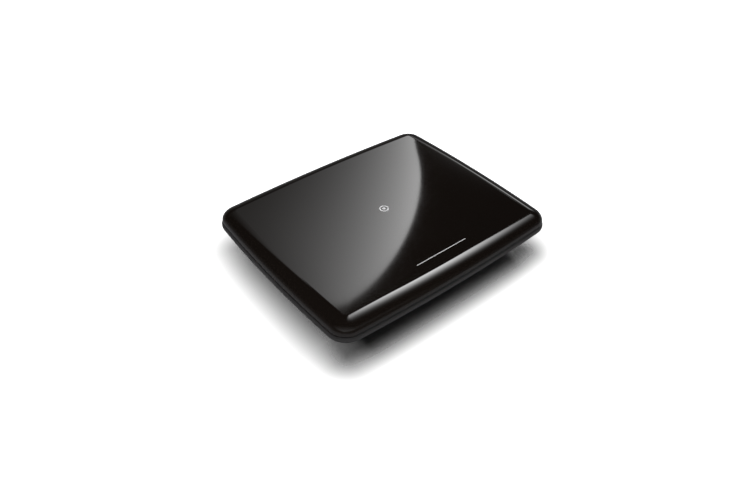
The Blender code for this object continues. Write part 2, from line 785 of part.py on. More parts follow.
def make_spindle():
    bottom = CHASSIS_Z[1] + FIT
    motor = turned(
        "spindle_motor",
        (
            (0, MOTOR_TOP),
            (MOTOR_RADIUS - 1 * MM, MOTOR_TOP),
            (MOTOR_RADIUS, MOTOR_TOP - 1 * MM),
            (MOTOR_RADIUS, bottom),
            (0, bottom),
        ),
        SPINDLE,
        "steel",
        32,
    )
    cut(motor, cylinder("shaft_way", (*SPINDLE, 12.5 * MM), (*SPINDLE, 18 * MM), 1.3 * MM, None, 16))
    turned(
        "turntable",
        (
            (0, 23.6 * MM),
            (5.6 * MM, 23.6 * MM),
            (7.3 * MM, 21.6 * MM),
            (7.3 * MM, 20.8 * MM),
            (14 * MM, 20.8 * MM),
            (14 * MM, 19.6 * MM),
            (9 * MM, 19.6 * MM),
            (7 * MM, 16.4 * MM),
            (1 * MM, 16.4 * MM),
            (1 * MM, 12.8 * MM),
            (0, 12.8 * MM),
        ),
        SPINDLE,
        "satin_black",
        32,
    )


def make_sled():
    low, high = 11.6 * MM, 15.3 * MM
    arm = ROD_OFFSET + 2.8 * MM
    pickup = box(
        "laser_pickup",
        (LENS_X - 10 * MM, SPINDLE.y - arm, low),
        (LENS_X + 12 * MM, SPINDLE.y + arm, high),
        "satin_black",
    )
    head = box(
        "lens_housing",
        (LENS_X - 5 * MM, SPINDLE.y - 10 * MM, high - 1 * MM),
        (LENS_X + 5 * MM, SPINDLE.y + 10 * MM, WELL_FLOOR - 0.2 * MM),
    )
    nut_arm = box(
        "nut_arm",
        (LENS_X - 4 * MM, SPINDLE.y + arm - OVER, low),
        (LENS_X + 8 * MM, SCREW_Y - SCREW_RADIUS - FIT, high),
    )
    join(pickup, head, nut_arm)
    for y in (SPINDLE.y - ROD_OFFSET, SPINDLE.y + ROD_OFFSET):
        way = cylinder(
            "rod_way",
            (LENS_X - 30 * MM, y, SLED_Z),
            (LENS_X + 30 * MM, y, SLED_Z),
            ROD_RADIUS + FIT / 2,
            None,
            16,
        )
        cut(pickup, way)
    lens_foot = (LENS_X, SPINDLE.y, WELL_FLOOR + 0.1 * MM)
    lens_top = (LENS_X, SPINDLE.y, WELL_FLOOR + 0.9 * MM)
    cylinder("pickup_lens", lens_foot, lens_top, LENS_RADIUS, "screen_glass", 20)
    rods = (("front_guide_rod", SPINDLE.y - ROD_OFFSET), ("rear_guide_rod", SPINDLE.y + ROD_OFFSET))
    for name, y in rods:
        cylinder(name, (ROD_X[0], y, SLED_Z), (ROD_X[1], y, SLED_Z), ROD_RADIUS, "steel", 12)
    screw_ends = ((SCREW_START, SCREW_Y, SLED_Z), (ROD_X[1], SCREW_Y, SLED_Z))
    cylinder("lead_screw", *screw_ends, SCREW_RADIUS, "steel", 12)
    motor_ends = ((SLED_MOTOR_START, SCREW_Y, SLED_Z), (SCREW_START - FIT, SCREW_Y, SLED_Z))
    cylinder("sled_motor", *motor_ends, SLED_MOTOR_RADIUS, "steel", 20)


# ---------------------------------------------------------------- controls


def key_outlines(grown):
    """Every key's outline in the deck, by name, grown all round by this much."""
    outlines = {}
    number = 1
    for y in KEY_ROWS:
        for x in KEY_COLUMNS:
            size = (KEY_SIZE[0] + 2 * grown, KEY_SIZE[1] + 2 * grown)
            outlines[f"key_{number}"] = pill((x, y), size)
            number += 1
    outlines["cursor_pad"] = circle(PAD_CENTRE, PAD_RADIUS + grown, 32)
    door_size = (14 * MM + 2 * grown, 6 * MM + 2 * grown)
    outlines["door_button"] = pill(DOOR_BUTTON, door_size)
    window_size = (9 * MM + 2 * grown, 4 * MM + 2 * grown)
    outlines["remote_window"] = pill(REMOTE_WINDOW, window_size)
    return outlines


def make_keys():
    out, thick = KEY_FLANGE
    flanges = key_outlines(out)
    for name, outline in key_outlines(0).items():
        if name == "remote_window":
            plate(name, [outline], DECK_UNDER + 0.4 * MM, DECK_TOP + 0.1 * MM, "screen_glass")
            continue
        finish = "satin_black" if name == "door_button" else "key_silver"
        key = plate(name, [outline], KEY_UNDER, KEY_TOP, finish)
        join(key, plate(name + "_flange", [flanges[name]], KEY_UNDER, KEY_UNDER + thick))
        if name == "cursor_pad":
            below, above = (*PAD_CENTRE, KEY_UNDER - OVER), (*PAD_CENTRE, KEY_TOP + OVER)
            room_top = (*PAD_CENTRE, ENTER_FLANGE_TOP + 2 * FIT)
            way = cylinder("enter_way", below, above, ENTER_RADIUS + SLIP, None, 24)
            room = cylinder("enter_room", below, room_top, ENTER_RADIUS + 1.4 * MM, None, 24)
            cut(key, way, room)
    foot, head = (*PAD_CENTRE, KEY_UNDER), (*PAD_CENTRE, KEY_TOP)
    enter = cylinder("enter_key", foot, head, ENTER_RADIUS, "key_silver", 24)
    flange_top = (*PAD_CENTRE, ENTER_FLANGE_TOP)
    join(enter, cylinder("enter_flange", foot, flange_top, ENTER_RADIUS + 1 * MM, None, 24))


def make_key_board():
    outline = rectangle(53 * MM, -46 * MM, 82 * MM, 34 * MM, 3 * MM)
    plate("key_board", [outline], *KEY_BOARD_Z, "board_green")
    mat = plate("key_mat", [outline], *KEY_MAT_Z, "rubber_black")
    centres = [(x, y) for x in KEY_COLUMNS for y in KEY_ROWS]
    centres += [tuple(PAD_CENTRE), DOOR_BUTTON]
    centres += [tuple(PAD_CENTRE + Vector(step) * MM) for step in ((8, 0), (-8, 0), (0, 8), (0, -8))]
    for centre in centres:
        foot, head = (*centre, KEY_MAT_Z[1] - FIT), (*centre, DOME_TOP)
        join(mat, cylinder("dome", foot, head, 2 * MM, None, 12, 1.3 * MM))


# ---------------------------------------------------------------- side panel and sockets


def side_cylinder(name, start_x, end_x, y, radius, finish=None, steps=20):
    return cylinder(name, (start_x, y, SOCKET_Z), (end_x, y, SOCKET_Z), radius, finish, steps)


def make_side_panel():
    inner, outer = PANEL_X
    low, high = (inner, -PANEL_HALF, PANEL_Z[0]), (outer, PANEL_HALF, PANEL_Z[1])
    panel = box("side_panel", low, high, "matte_black")
    ways = (("headphone_socket", 2.9 * MM), ("video_socket", 2.9 * MM), ("power_socket", 3.1 * MM))
    for name, radius in ways:
        cut(panel, side_cylinder(name + "_way", inner - OVER, outer + OVER, SIDE_PLACES[name], radius))
    slots = (
        ("power_slider", 5.4 * MM, 1.6 * MM),
        ("volume_wheel", 6.1 * MM, 1.7 * MM),
        ("data_socket", 6.6 * MM, 2.7 * MM),
    )
    for name, half_y, half_z in slots:
        y = SIDE_PLACES[name]
        slot = box(
            name + "_slot",
            (inner - OVER, y - half_y, SOCKET_Z - half_z),
            (outer + OVER, y + half_y, SOCKET_Z + half_z),
        )
        cut(panel, slot)


def make_sockets():
    inner, outer = PANEL_X
    for name in ("headphone_socket", "video_socket"):
        y = SIDE_PLACES[name]
        length, half_y, half_z = JACK_SIZE
        socket = box(
            name,
            (inner - FIT - length, y - half_y, SOCKET_Z - half_z),
            (inner - FIT, y + half_y, SOCKET_Z + half_z),
            "satin_black",
        )
        join(socket, side_cylinder(name + "_nose", inner - OVER, outer, y, 2.6 * MM))
        cut(socket, side_cylinder(name + "_bore", outer - 11 * MM, outer + OVER, y, 1.8 * MM))
    y = SIDE_PLACES["power_socket"]
    length, half_y, half_z = POWER_JACK_SIZE
    socket = box(
        "power_socket",
        (inner - FIT - length, y - half_y, SOCKET_Z - half_z),
        (inner - FIT, y + half_y, SOCKET_Z + half_z),
        "satin_black",
    )
    bore_end = outer - 9.5 * MM
    join(socket, side_cylinder("power_nose", inner - OVER, outer, y, 2.8 * MM))
    cut(socket, side_cylinder("power_bore", bore_end, outer + OVER, y, 2.4 * MM))
    join(socket, side_cylinder("power_contact", bore_end - OVER, outer - 1 * MM, y, 0.7 * MM, None, 12))
    y = SIDE_PLACES["data_socket"]
    socket = box(
        "data_socket",
        (inner - 11 * MM, y - 6.3 * MM, SOCKET_Z - 2.4 * MM),
        (outer - 0.3 * MM, y + 6.3 * MM, SOCKET_Z + 2.4 * MM),
        "steel",
    )
    hollow = box(
        "data_hollow",
        (inner - 9 * MM, y - 5.8 * MM, SOCKET_Z - 1.9 * MM),
        (outer + OVER, y + 5.8 * MM, SOCKET_Z + 1.9 * MM),
    )
    tongue = box(
        "data_tongue",
        (inner - 10 * MM, y - 5 * MM, SOCKET_Z + 0.2 * MM),
        (outer - 1.4 * MM, y + 5 * MM, SOCKET_Z + 1.4 * MM),
    )
    cut(socket, hollow)
    join(socket, tongue)


def make_slider_and_wheel():
    inner, outer = PANEL_X
    y = SIDE_PLACES["power_slider"]
    slider = box(
        "power_slider",
        (inner - 2 * MM, y - 5 * MM, SOCKET_Z - 1.2 * MM),
        (outer + 1.2 * MM, y + 1 * MM, SOCKET_Z + 1.2 * MM),
        "matte_black",
    )
    shoe = box(
        "slider_shoe",
        (inner - 2.4 * MM, y - 7 * MM, SOCKET_Z - 2.4 * MM),
        (inner - SLIP, y + 3 * MM, SOCKET_Z + 2.4 * MM),
    )
    join(slider, shoe)
    centre = (WHEEL_X, SIDE_PLACES["volume_wheel"])
    cylinder(
        "volume_wheel",
        (*centre, SOCKET_Z - WHEEL_HALF_THICKNESS),
        (*centre, SOCKET_Z + WHEEL_HALF_THICKNESS),
        WHEEL_RADIUS,
        "matte_black",
        40,
    )


# ---------------------------------------------------------------- boards, battery, feet and screws


def make_boards():
    board = rectangle(-66 * MM, -44 * MM, 27 * MM, 44 * MM, 3 * MM)
    holes = [circle(centre, 3.4 * MM, 20) for centre in POSTS[:2]]
    plate("main_board", [board, *holes], *MAIN_BOARD_Z, "board_green")
    box("battery_pack", *BATTERY_BOX, "battery_wrap", 1.5 * MM, 2)
    box("socket_board", *SOCKET_BOARD_BOX, "board_green")


def make_feet_and_screws():
    for index, centre in enumerate(FEET, 1):
        name = f"rubber_foot_{index}"
        foot = cylinder(name, (*centre, 0), (*centre, FOOT_HEIGHT), FOOT_RADIUS, "rubber_black", 28)
        rounded = foot.modifiers.new("rounded_edge", "BEVEL")
        rounded.width = 0.4 * MM
        rounded.segments = 1
    for index, centre in enumerate(CASE_SCREWS, 1):
        turned(
            f"case_screw_{index}",
            (
                (0, 20 * MM),
                (1.1 * MM, 19 * MM),
                (1.1 * MM, 3.6 * MM),
                (2.3 * MM, 3.6 * MM),
                (2.3 * MM, 2.2 * MM),
                (1.9 * MM, 1.9 * MM),
                (0, 1.9 * MM),
            ),
            centre,
            "steel",
            16,
        )


make_lid_cover()
make_hinge_pins()
make_screen_parts()
make_lower_case()
make_upper_case()
make_disc_well()
make_disc_door()
make_chassis()
make_dampers()
make_spindle()
make_sled()
make_keys()
make_key_board()
make_side_panel()
make_sockets()
make_slider_and_wheel()
make_boards()
make_feet_and_screws()
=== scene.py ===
# %% [markdown]
# # A closed disc player with a folding screen
#
# The player lies shut on a white table: a glossy, pillow-shaped lid over a satin case whose sides slope
# inwards below its rim. Its solids come packed, as a fixed frame. This script gives them their looks.
# It makes the surfaces that need a finer shape than the frame has, one after another, and then the
# finishes, the light and the camera.

# %% Load the frame
import json
import math

import bmesh
import bpy
from mathutils import Matrix, Vector


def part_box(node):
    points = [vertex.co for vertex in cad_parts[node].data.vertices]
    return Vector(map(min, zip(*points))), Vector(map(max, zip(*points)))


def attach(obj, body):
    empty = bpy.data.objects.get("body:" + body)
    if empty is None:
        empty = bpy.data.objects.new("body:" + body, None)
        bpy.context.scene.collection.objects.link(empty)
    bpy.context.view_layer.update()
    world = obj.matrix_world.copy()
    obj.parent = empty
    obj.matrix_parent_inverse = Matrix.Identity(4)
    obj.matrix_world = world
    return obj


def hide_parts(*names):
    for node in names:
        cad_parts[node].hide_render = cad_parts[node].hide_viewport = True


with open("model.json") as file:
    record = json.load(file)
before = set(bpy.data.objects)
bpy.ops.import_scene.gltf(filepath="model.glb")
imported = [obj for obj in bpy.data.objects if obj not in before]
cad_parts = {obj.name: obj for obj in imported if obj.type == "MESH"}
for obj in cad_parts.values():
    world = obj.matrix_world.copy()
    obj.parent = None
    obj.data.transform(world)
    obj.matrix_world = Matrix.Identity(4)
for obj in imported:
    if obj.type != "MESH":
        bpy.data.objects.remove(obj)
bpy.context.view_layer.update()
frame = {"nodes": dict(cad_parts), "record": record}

MM = 0.001
joints = {joint["name"]: joint for joint in frame["record"]["behaviour"]["joints"]}
body_of_node = {
    node: body for body, nodes in frame["record"]["behaviour"]["bodies"].items() for node in nodes
}
slot_of_node = {part["node"]: part["material_slot"] for part in frame["record"]["subparts"]}

# %% [markdown]
# ## Shader maths as plain expressions
#
# A finish is a small sum: a base value, plus a bit of noise, times a mask. Wiring Math nodes by hand hides
# that sum, so a `Signal` wraps one output socket, and `+`, `-`, `*` and the rest add the Math node. Every
# other kind of node comes from the one method `Graph.add`.


# %% Signals and finishes
class Signal:
    """One output socket. Arithmetic on it adds Math nodes to its tree."""

    def __init__(self, graph, socket):
        self.graph = graph
        self.socket = socket

    def calculate(self, operation, first, second=None, clamp=False):
        values = {0: first} if second is None else {0: first, 1: second}
        settings = {"operation": operation, "use_clamp": clamp}
        return self.graph.add("ShaderNodeMath", settings, values)

    def __add__(self, other):
        return self.calculate("ADD", self, other)

    def __radd__(self, other):
        return self.calculate("ADD", other, self)

    def __sub__(self, other):
        return self.calculate("SUBTRACT", self, other)

    def __rsub__(self, other):
        return self.calculate("SUBTRACT", other, self)

    def __mul__(self, other):
        return self.calculate("MULTIPLY", self, other)

    def __rmul__(self, other):
        return self.calculate("MULTIPLY", other, self)

    def __truediv__(self, other):
        return self.calculate("DIVIDE", self, other)

    def __rtruediv__(self, other):
        return self.calculate("DIVIDE", other, self)

    def __pow__(self, other):
        return self.calculate("POWER", self, other)

    def __neg__(self):
        return self.calculate("MULTIPLY", self, -1.0)

    def __gt__(self, other):
        return self.calculate("GREATER_THAN", self, other)

    def clamped(self):
        return self.calculate("ADD", self, 0.0, clamp=True)

    def rounded(self):
        return self.calculate("ROUND", self)

    def size(self):
        return self.calculate("ABSOLUTE", self)

    def at_least(self, least):
        return self.calculate("MAXIMUM", self, least)

    def exponent(self):
        return self.calculate("EXPONENT", self)

    def remainder(self, divisor):
        return self.calculate("FLOORED_MODULO", self, divisor)


class Graph:
    """A node tree, and the one way in which its nodes are made."""

    def __init__(self, tree):
        self.tree = tree

    def connect(self, value, socket):
        if isinstance(value, Signal):
            self.tree.links.new(value.socket, socket)
        else:
            socket.default_value = value

    def add(self, kind, settings=None, sockets=None, output=0):
        """Adds a node, gives it its properties and then its sockets' values or links."""
        node = self.tree.nodes.new(kind)
        for name, value in (settings or {}).items():
            setattr(node, name, value)
        for name, value in (sockets or {}).items():
            self.connect(value, node.inputs[name])
        return Signal(self, node.outputs[output])

    def split(self, vector):
        """The three coordinates of a vector as separate signals."""
        node = self.add("ShaderNodeSeparateXYZ", sockets={0: vector}).socket.node
        return [Signal(self, node.outputs[axis]) for axis in ("X", "Y", "Z")]


class Finish(Graph):
    """A material with a Principled BSDF."""

    def __init__(self, name, colour, roughness, metallic=0.0, **sockets):
        self.material = bpy.data.materials.new(name)
        self.material.use_nodes = True
        super().__init__(self.material.node_tree)
        self.shader = self.tree.nodes["Principled BSDF"]
        self.feed("Base Color", (*colour, 1.0))
        self.feed("Roughness", roughness)
        self.feed("Metallic", metallic)
        for socket, value in sockets.items():
            self.feed(socket.replace("_", " "), value)

    def feed(self, socket, value):
        self.connect(value, self.shader.inputs[socket])

    def place(self):
        """Where a point is on the object, in metres."""
        return self.add("ShaderNodeTexCoord", output="Object")

    def axes(self):
        return self.split(self.place())

    def noise(self, scale, detail=2.0, roughness=0.5):
        sockets = {"Vector": self.place(), "Scale": scale, "Detail": detail, "Roughness": roughness}
        return self.add("ShaderNodeTexNoise", sockets=sockets)

    def mix(self, factor, first, second):
        """A colour between two, by a factor from 0 to 1."""
        node_type = {"data_type": "RGBA"}
        sockets = {"Factor": factor, 6: as_colour(first), 7: as_colour(second)}
        return self.add("ShaderNodeMix", node_type, sockets, output=2)

    def bump(self, height, distance, strength=1.0):
        sockets = {"Height": height, "Distance": distance, "Strength": strength}
        self.feed("Normal", self.add("ShaderNodeBump", sockets=sockets))


def as_colour(value):
    return value if isinstance(value, Signal) else (*value, 1.0)


print("shader helpers ready")

# %% [markdown]
# ## Black plastics
#
# Piano-black plastic is almost nothing but its reflection: a very dark, slightly warm body under a smooth
# skin. What makes it real is that the skin isn't perfect. Faint wiping marks change the roughness, and the
# moulding leaves a long, shallow wave. The satin case is sparked in the mould instead: a fine, even grain.


# %% Plastics
def gloss_black():
    finish = Finish("gloss_black", (0.0035, 0.0026, 0.0022), 0.05, IOR=1.5)
    wiping = finish.noise(26.0, 5.0, 0.6)
    hairlines = finish.noise(900.0, 1.0) * 0.01
    finish.feed("Roughness", 0.035 + wiping * 0.035 + hairlines)
    warm, deep = (0.0056, 0.0042, 0.0034), (0.0038, 0.0028, 0.0023)
    finish.feed("Base Color", finish.mix(finish.noise(9.0), warm, deep))
    finish.bump(finish.noise(22.0, 0.0), 0.01 * MM, 0.35)
    return finish.material


def grained_plastic(name, colour, roughness, grain=2600.0, depth=0.02 * MM, lift=1.35):
    """Moulded plastic with a spark-eroded grain, lighter where the grain stands proud."""
    finish = Finish(name, colour, roughness)
    grains = finish.noise(grain, 3.0, 0.65)
    patches = finish.noise(60.0, 3.0)
    pale = tuple(channel * lift for channel in colour)
    finish.feed("Base Color", finish.mix((grains * 0.6 + patches * 0.4).clamped(), colour, pale))
    finish.feed("Roughness", (roughness - 0.05 + grains * 0.12).clamped())
    finish.bump(grains, depth, 0.5)
    return finish.material


def rubber():
    finish = Finish("rubber", (0.018, 0.018, 0.018), 0.8)
    speckle = finish.noise(1800.0, 4.0)
    bloom = finish.noise(140.0, 2.0)
    finish.feed("Base Color", finish.mix(bloom, (0.014, 0.014, 0.014), (0.028, 0.028, 0.027)))
    finish.feed("Roughness", 0.72 + speckle * 0.2)
    finish.bump(speckle, 0.04 * MM, 0.5)
    return finish.material


def brushed_steel(name, colour, roughness):
    """Steel with fine drawing marks along X, made by stretching noise along it."""
    finish = Finish(name, colour, roughness, 1.0)
    stretch = (60.0, 3000.0, 3000.0)
    scaled = finish.add("ShaderNodeVectorMath", {"operation": "MULTIPLY"}, {0: finish.place(), 1: stretch})
    marks = finish.add("ShaderNodeTexNoise", sockets={"Vector": scaled, "Scale": 1.0, "Detail": 3.0})
    finish.feed("Roughness", roughness - 0.08 + marks * 0.16)
    finish.feed("Base Color", finish.mix(marks, tuple(0.85 * c for c in colour), colour))
    finish.bump(marks, 0.005 * MM, 0.4)
    return finish.material


def circuit_board():
    """Green resist over copper: where the tracks run, the green is paler and stands a little higher."""
    finish = Finish("circuit_board", (0.012, 0.09, 0.035), 0.35)
    cells = finish.add(
        "ShaderNodeTexVoronoi",
        {"distance": "CHEBYCHEV", "feature": "F1"},
        {"Vector": finish.place(), "Scale": 240.0, "Randomness": 0.8},
    )
    tracks = cells > 0.42
    finish.feed("Base Color", finish.mix(tracks, (0.010, 0.075, 0.028), (0.03, 0.17, 0.07)))
    finish.feed("Roughness", 0.3 + tracks * 0.12)
    finish.bump(tracks, 0.04 * MM, 0.4)
    return finish.material


def battery_wrap():
    finish = Finish("battery_wrap", (0.03, 0.06, 0.17), 0.35)
    wrinkles = finish.noise(70.0, 2.0)
    finish.feed("Base Color", finish.mix(wrinkles, (0.025, 0.05, 0.15), (0.045, 0.085, 0.22)))
    finish.feed("Roughness", 0.3 + wrinkles * 0.15)
    finish.bump(wrinkles, 0.4 * MM, 0.25)
    return finish.material


def dark_glass():
    """An unlit liquid-crystal panel or infrared window: black, with a faint violet depth."""
    finish = Finish("dark_glass", (0.006, 0.006, 0.008), 0.1, IOR=1.5)
    haze = finish.noise(45.0, 3.0)
    finish.feed("Base Color", finish.mix(haze, (0.005, 0.005, 0.007), (0.009, 0.008, 0.012)))
    finish.feed("Roughness", 0.07 + haze * 0.05)
    return finish.material


def key_silver():
    """Silver paint on plastic: fine flakes that sparkle under a clear coat."""
    finish = Finish("key_silver", (0.4, 0.4, 0.41), 0.32, 0.6)
    flakes = finish.noise(4200.0, 2.0)
    finish.feed("Base Color", finish.mix(flakes, (0.36, 0.36, 0.37), (0.52, 0.52, 0.53)))
    finish.feed("Roughness", 0.26 + flakes * 0.14)
    finish.bump(flakes, 0.006 * MM, 0.3)
    return finish.material


def printed_mark():
    """Pale pad-printed ink: thin, a little uneven, and duller than the plastic below it."""
    finish = Finish("printed_mark", (0.4, 0.4, 0.4), 0.5)
    cover = finish.noise(900.0, 3.0)
    finish.feed("Base Color", finish.mix(cover, (0.34, 0.34, 0.345), (0.5, 0.5, 0.5)))
    finish.feed("Roughness", 0.42 + cover * 0.15)
    return finish.material


def blank_label():
    """A satin grey sticker without print, with a faint emboss from the paper's fibres."""
    finish = Finish("blank_label", (0.3, 0.3, 0.3), 0.5)
    fibres = finish.noise(700.0, 5.0, 0.7)
    finish.feed("Base Color", finish.mix(fibres, (0.27, 0.27, 0.275), (0.34, 0.34, 0.34)))
    finish.feed("Roughness", 0.4 + fibres * 0.18)
    finish.bump(fibres, 0.02 * MM, 0.4)
    return finish.material


def lens_glass():
    """A tiny coated lens, with a blue-violet sheen."""
    finish = Finish("lens_glass", (0.02, 0.03, 0.09), 0.05, IOR=1.6)
    sheen = finish.noise(400.0, 1.0)
    finish.feed("Base Color", finish.mix(sheen, (0.02, 0.03, 0.1), (0.05, 0.02, 0.09)))
    finish.feed("Roughness", 0.03 + sheen * 0.04)
    return finish.material


finishes = {
    "gloss_shell": gloss_black(),
    "satin_shell": grained_plastic("satin_black", (0.010, 0.0095, 0.0095), 0.36),
    "matte_trim": grained_plastic("matte_black", (0.016, 0.016, 0.017), 0.55, 2000.0, 0.03 * MM),
    "rubber": rubber(),
    "screen_glass": dark_glass(),
    "circuit_board": circuit_board(),
    "battery_wrap": battery_wrap(),
    "steel": brushed_steel("drawn_steel", (0.56, 0.56, 0.57), 0.3),
    "key_silver": key_silver(),
}
for name, node in frame["nodes"].items():
    node.data.materials.clear()
    node.data.materials.append(finishes[slot_of_node[name]])
mark_ink, label_paper, lens_coating = printed_mark(), blank_label(), lens_glass()
grille_metal = brushed_steel("grille_metal", (0.13, 0.13, 0.135), 0.42)
print("finishes:", ", ".join(finishes))

# %% [markdown]
# ## The bowed outline
#
# From above, the case is four gently bowed sides with round corners. Each side is an arc of a large circle,
# and each corner is a small arc that touches two of them, so one function gives the outline at any inset:
# moving inwards only shortens every radius. The frame uses the same rule with fewer points.

# %% Outline of the case
upper_low, upper_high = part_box("upper_case")
WIDTH = upper_high.x - upper_low.x
DEPTH = 159 * MM
OUTLINE_Y = upper_low.y + DEPTH / 2
BOW_RADIUS_LONG = 1500 * MM
BOW_RADIUS_SHORT = 1060 * MM
CORNER_RADIUS = 14 * MM
LEAST_CORNER_RADIUS = 2 * MM
CORNER_STEPS = 20
SIDE_STEPS = 22
SHARP_EDGE = math.radians(32)


def arc(centre, radius, start, end, steps):
    """Points on an arc, its first and last one included."""
    angles = [start + (end - start) * step / steps for step in range(steps + 1)]
    return [centre + radius * Vector((math.cos(angle), math.sin(angle))) for angle in angles]


def outline(inset):
    """The outline moved in by inset, as XY points, anticlockwise from above."""
    back = Vector((0, DEPTH / 2 - BOW_RADIUS_LONG))
    right = Vector((WIDTH / 2 - BOW_RADIUS_SHORT, 0))
    radius = max(CORNER_RADIUS - inset, LEAST_CORNER_RADIUS)
    reach_back = BOW_RADIUS_LONG - inset - radius
    reach_right = BOW_RADIUS_SHORT - inset - radius
    between = right - back
    along = (reach_back**2 - reach_right**2 + between.length_squared) / (2 * between.length)
    aside = math.sqrt(reach_back**2 - along**2)
    direction = between.normalized()
    corner = back + direction * along + Vector((direction.y, -direction.x)) * aside
    to_right = math.atan2(*(corner - right).yx)
    to_back = math.atan2(*(corner - back).yx)
    quarter = arc(corner, radius, to_right, to_back, CORNER_STEPS)
    back_side = arc(back, BOW_RADIUS_LONG - inset, to_back, math.pi - to_back, SIDE_STEPS)[1:-1]
    right_side = arc(right, BOW_RADIUS_SHORT - inset, to_right, -to_right, SIDE_STEPS)[1:-1]
    mirrored = [Vector((-point.x, point.y)) for point in reversed(quarter)]
    left_side = [Vector((-point.x, point.y)) for point in right_side]
    half = quarter + back_side + mirrored + left_side
    whole = half + [-point for point in half]
    return [point + Vector((0, OUTLINE_Y)) for point in whole]


def finished(name, bm, body, slot, finish=None, replaced=(), shaping=()):
    """Turns bm into a piece, shapes it with Booleans and lets it ride on a body. Its place is in its mesh."""
    mesh = bpy.data.meshes.new(name)
    bm.to_mesh(mesh)
    bm.free()
    mesh.shade_smooth()
    mesh.set_sharp_from_angle(angle=SHARP_EDGE)
    piece = bpy.data.objects.new(name, mesh)
    bpy.context.scene.collection.objects.link(piece)
    mesh.materials.append(finish or finishes[slot])
    if shaping:
        apply_booleans(piece, shaping)
    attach(piece, body)
    for node in replaced:
        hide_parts(node)
    return piece


def level_row(inset, height):
    """The outline at one height."""
    return [Vector((*point, height)) for point in outline(inset)]


def loft(point_rows):
    """A bmesh through rows of points, capped at both ends. The last row may be a single point."""
    bm = bmesh.new()
    rows = [[bm.verts.new(point) for point in row] for row in point_rows]
    for lower, upper in zip(rows, rows[1:]):
        for i in range(len(lower)):
            j = (i + 1) % len(lower)
            if len(upper) == 1:
                bm.faces.new((lower[i], lower[j], upper[0]))
            else:
                bm.faces.new((lower[i], lower[j], upper[j], upper[i]))
    for row in (rows[0], rows[-1]):
        if len(row) > 1:
            bm.faces.new(row)
    bmesh.ops.recalc_face_normals(bm, faces=bm.faces)
    return bm


print("outline:", len(outline(0)), "points")

# %% [markdown]
# ## The lid
#
# The lid is what everyone sees. Its edge is a flattened quarter ellipse that stops a little short of level
# and meets the top in a soft crease, and the top itself is a very shallow dome. A gloss surface shows every
# facet in its reflections, so the frame's coarse lid is replaced by a finer one made from the same rule.
# Subdivision of the coarse lid would be shorter, but it would pull the crease and the lip out of place.

# %% Lid cover
hinge = Vector(joints["screen_hinge"]["pos_m"])
_, lid_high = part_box("lid_cover")
LID_SIDE_TOP = 28.8 * MM
LID_INSET = 0.9 * MM
CREASE = (11.2 * MM, 35.5 * MM)
CREASE_TURN = math.radians(78)
ROLL_TURN = math.radians(86)
ROLL_SHARE = 0.5
ROLL_POWER = 8
DOME_TOP = lid_high.z - 0.08 * MM
LID_EDGE_STEPS, LID_DOME_STEPS = 18, 16
MIDDLE = Vector((0, OUTLINE_Y))
crease_half = Vector([max(point[axis] for point in outline(CREASE[0])) for axis in (0, 1)]) - MIDDLE
KNUCKLE_RADIUS = 3.1 * MM
NOTCH_RADIUS = 3.7 * MM
BASE_KNUCKLE = (40 * MM, 50 * MM)
LID_KNUCKLE = (50.4 * MM, 60.4 * MM)


def lid_edge_rows(steps):
    """Rows of points up the rounded edge. The crease is crisp at front and back, and soft at the sides."""
    width_points, crease_points = outline(LID_INSET), outline(CREASE[0])
    rows = []
    for step in [*range(steps), steps - 0.4, steps - 0.12, steps]:
        row = []
        for outer, inner in zip(width_points, crease_points):
            across = inner - outer
            facing_side = abs(across.x) / across.length
            turn = CREASE_TURN + (ROLL_TURN - CREASE_TURN) * smooth(facing_side)
            part = turn * step / steps
            share = (1 - math.cos(part)) / (1 - math.cos(turn))
            rise = math.sin(part) / math.sin(turn)
            point = outer + across * share
            row.append(Vector((*point, LID_SIDE_TOP + (CREASE[1] - LID_SIDE_TOP) * rise)))
        rows.append(row)
    return rows


def smooth(share):
    return share * share * (3 - 2 * share)


def dome_height(x, y):
    """The height of the lid's top at a place inside its crease."""
    across = (1 - ROLL_SHARE) * (x / crease_half.x) ** 2 + ROLL_SHARE * (x / crease_half.x) ** ROLL_POWER
    lift = (1 - across) * (1 - ((y - OUTLINE_Y) / crease_half.y) ** 2)
    return CREASE[1] + (DOME_TOP - CREASE[1]) * lift


def lid_dome_rows(steps):
    """The crease outline, shrunk step by step towards the middle and lifted on to a shallow dome."""
    rows = []
    for step in [0.03, 0.12, 0.4, *range(1, steps)]:
        row = []
        for point in outline(CREASE[0]):
            x, y = MIDDLE + (point - MIDDLE) * (1 - step / steps)
            row.append(Vector((x, y, dome_height(x, y))))
        rows.append(row)
    rows.append([Vector((*MIDDLE, DOME_TOP))])
    return rows


def helper(bm):
    """A passing object for a Boolean."""
    mesh = bpy.data.meshes.new("helper")
    bm.to_mesh(mesh)
    bm.free()
    obj = bpy.data.objects.new("helper", mesh)
    bpy.context.scene.collection.objects.link(obj)
    return obj


def barrel(start, end, radius, segments=48):
    """A cylinder between two points, as a helper."""
    start, end = Vector(start), Vector(end)
    bm = bmesh.new()
    bmesh.ops.create_cone(
        bm, cap_ends=True, segments=segments, radius1=radius, radius2=radius, depth=(end - start).length
    )
    turn = (end - start).to_track_quat("Z", "Y").to_matrix().to_4x4()
    bmesh.ops.transform(bm, matrix=Matrix.Translation((start + end) / 2) @ turn, verts=bm.verts)
    return helper(bm)


def hinge_barrel(start_x, end_x, radius):
    return barrel((start_x, hinge.y, hinge.z), (end_x, hinge.y, hinge.z), radius)


def block(low, high):
    """A box between two corners, as a helper."""
    low, high = Vector(low), Vector(high)
    bm = bmesh.new()
    bmesh.ops.create_cube(bm, size=1.0)
    bmesh.ops.transform(
        bm, matrix=Matrix.Translation((low + high) / 2) @ Matrix.Diagonal((*(high - low), 1)), verts=bm.verts
    )
    return helper(bm)


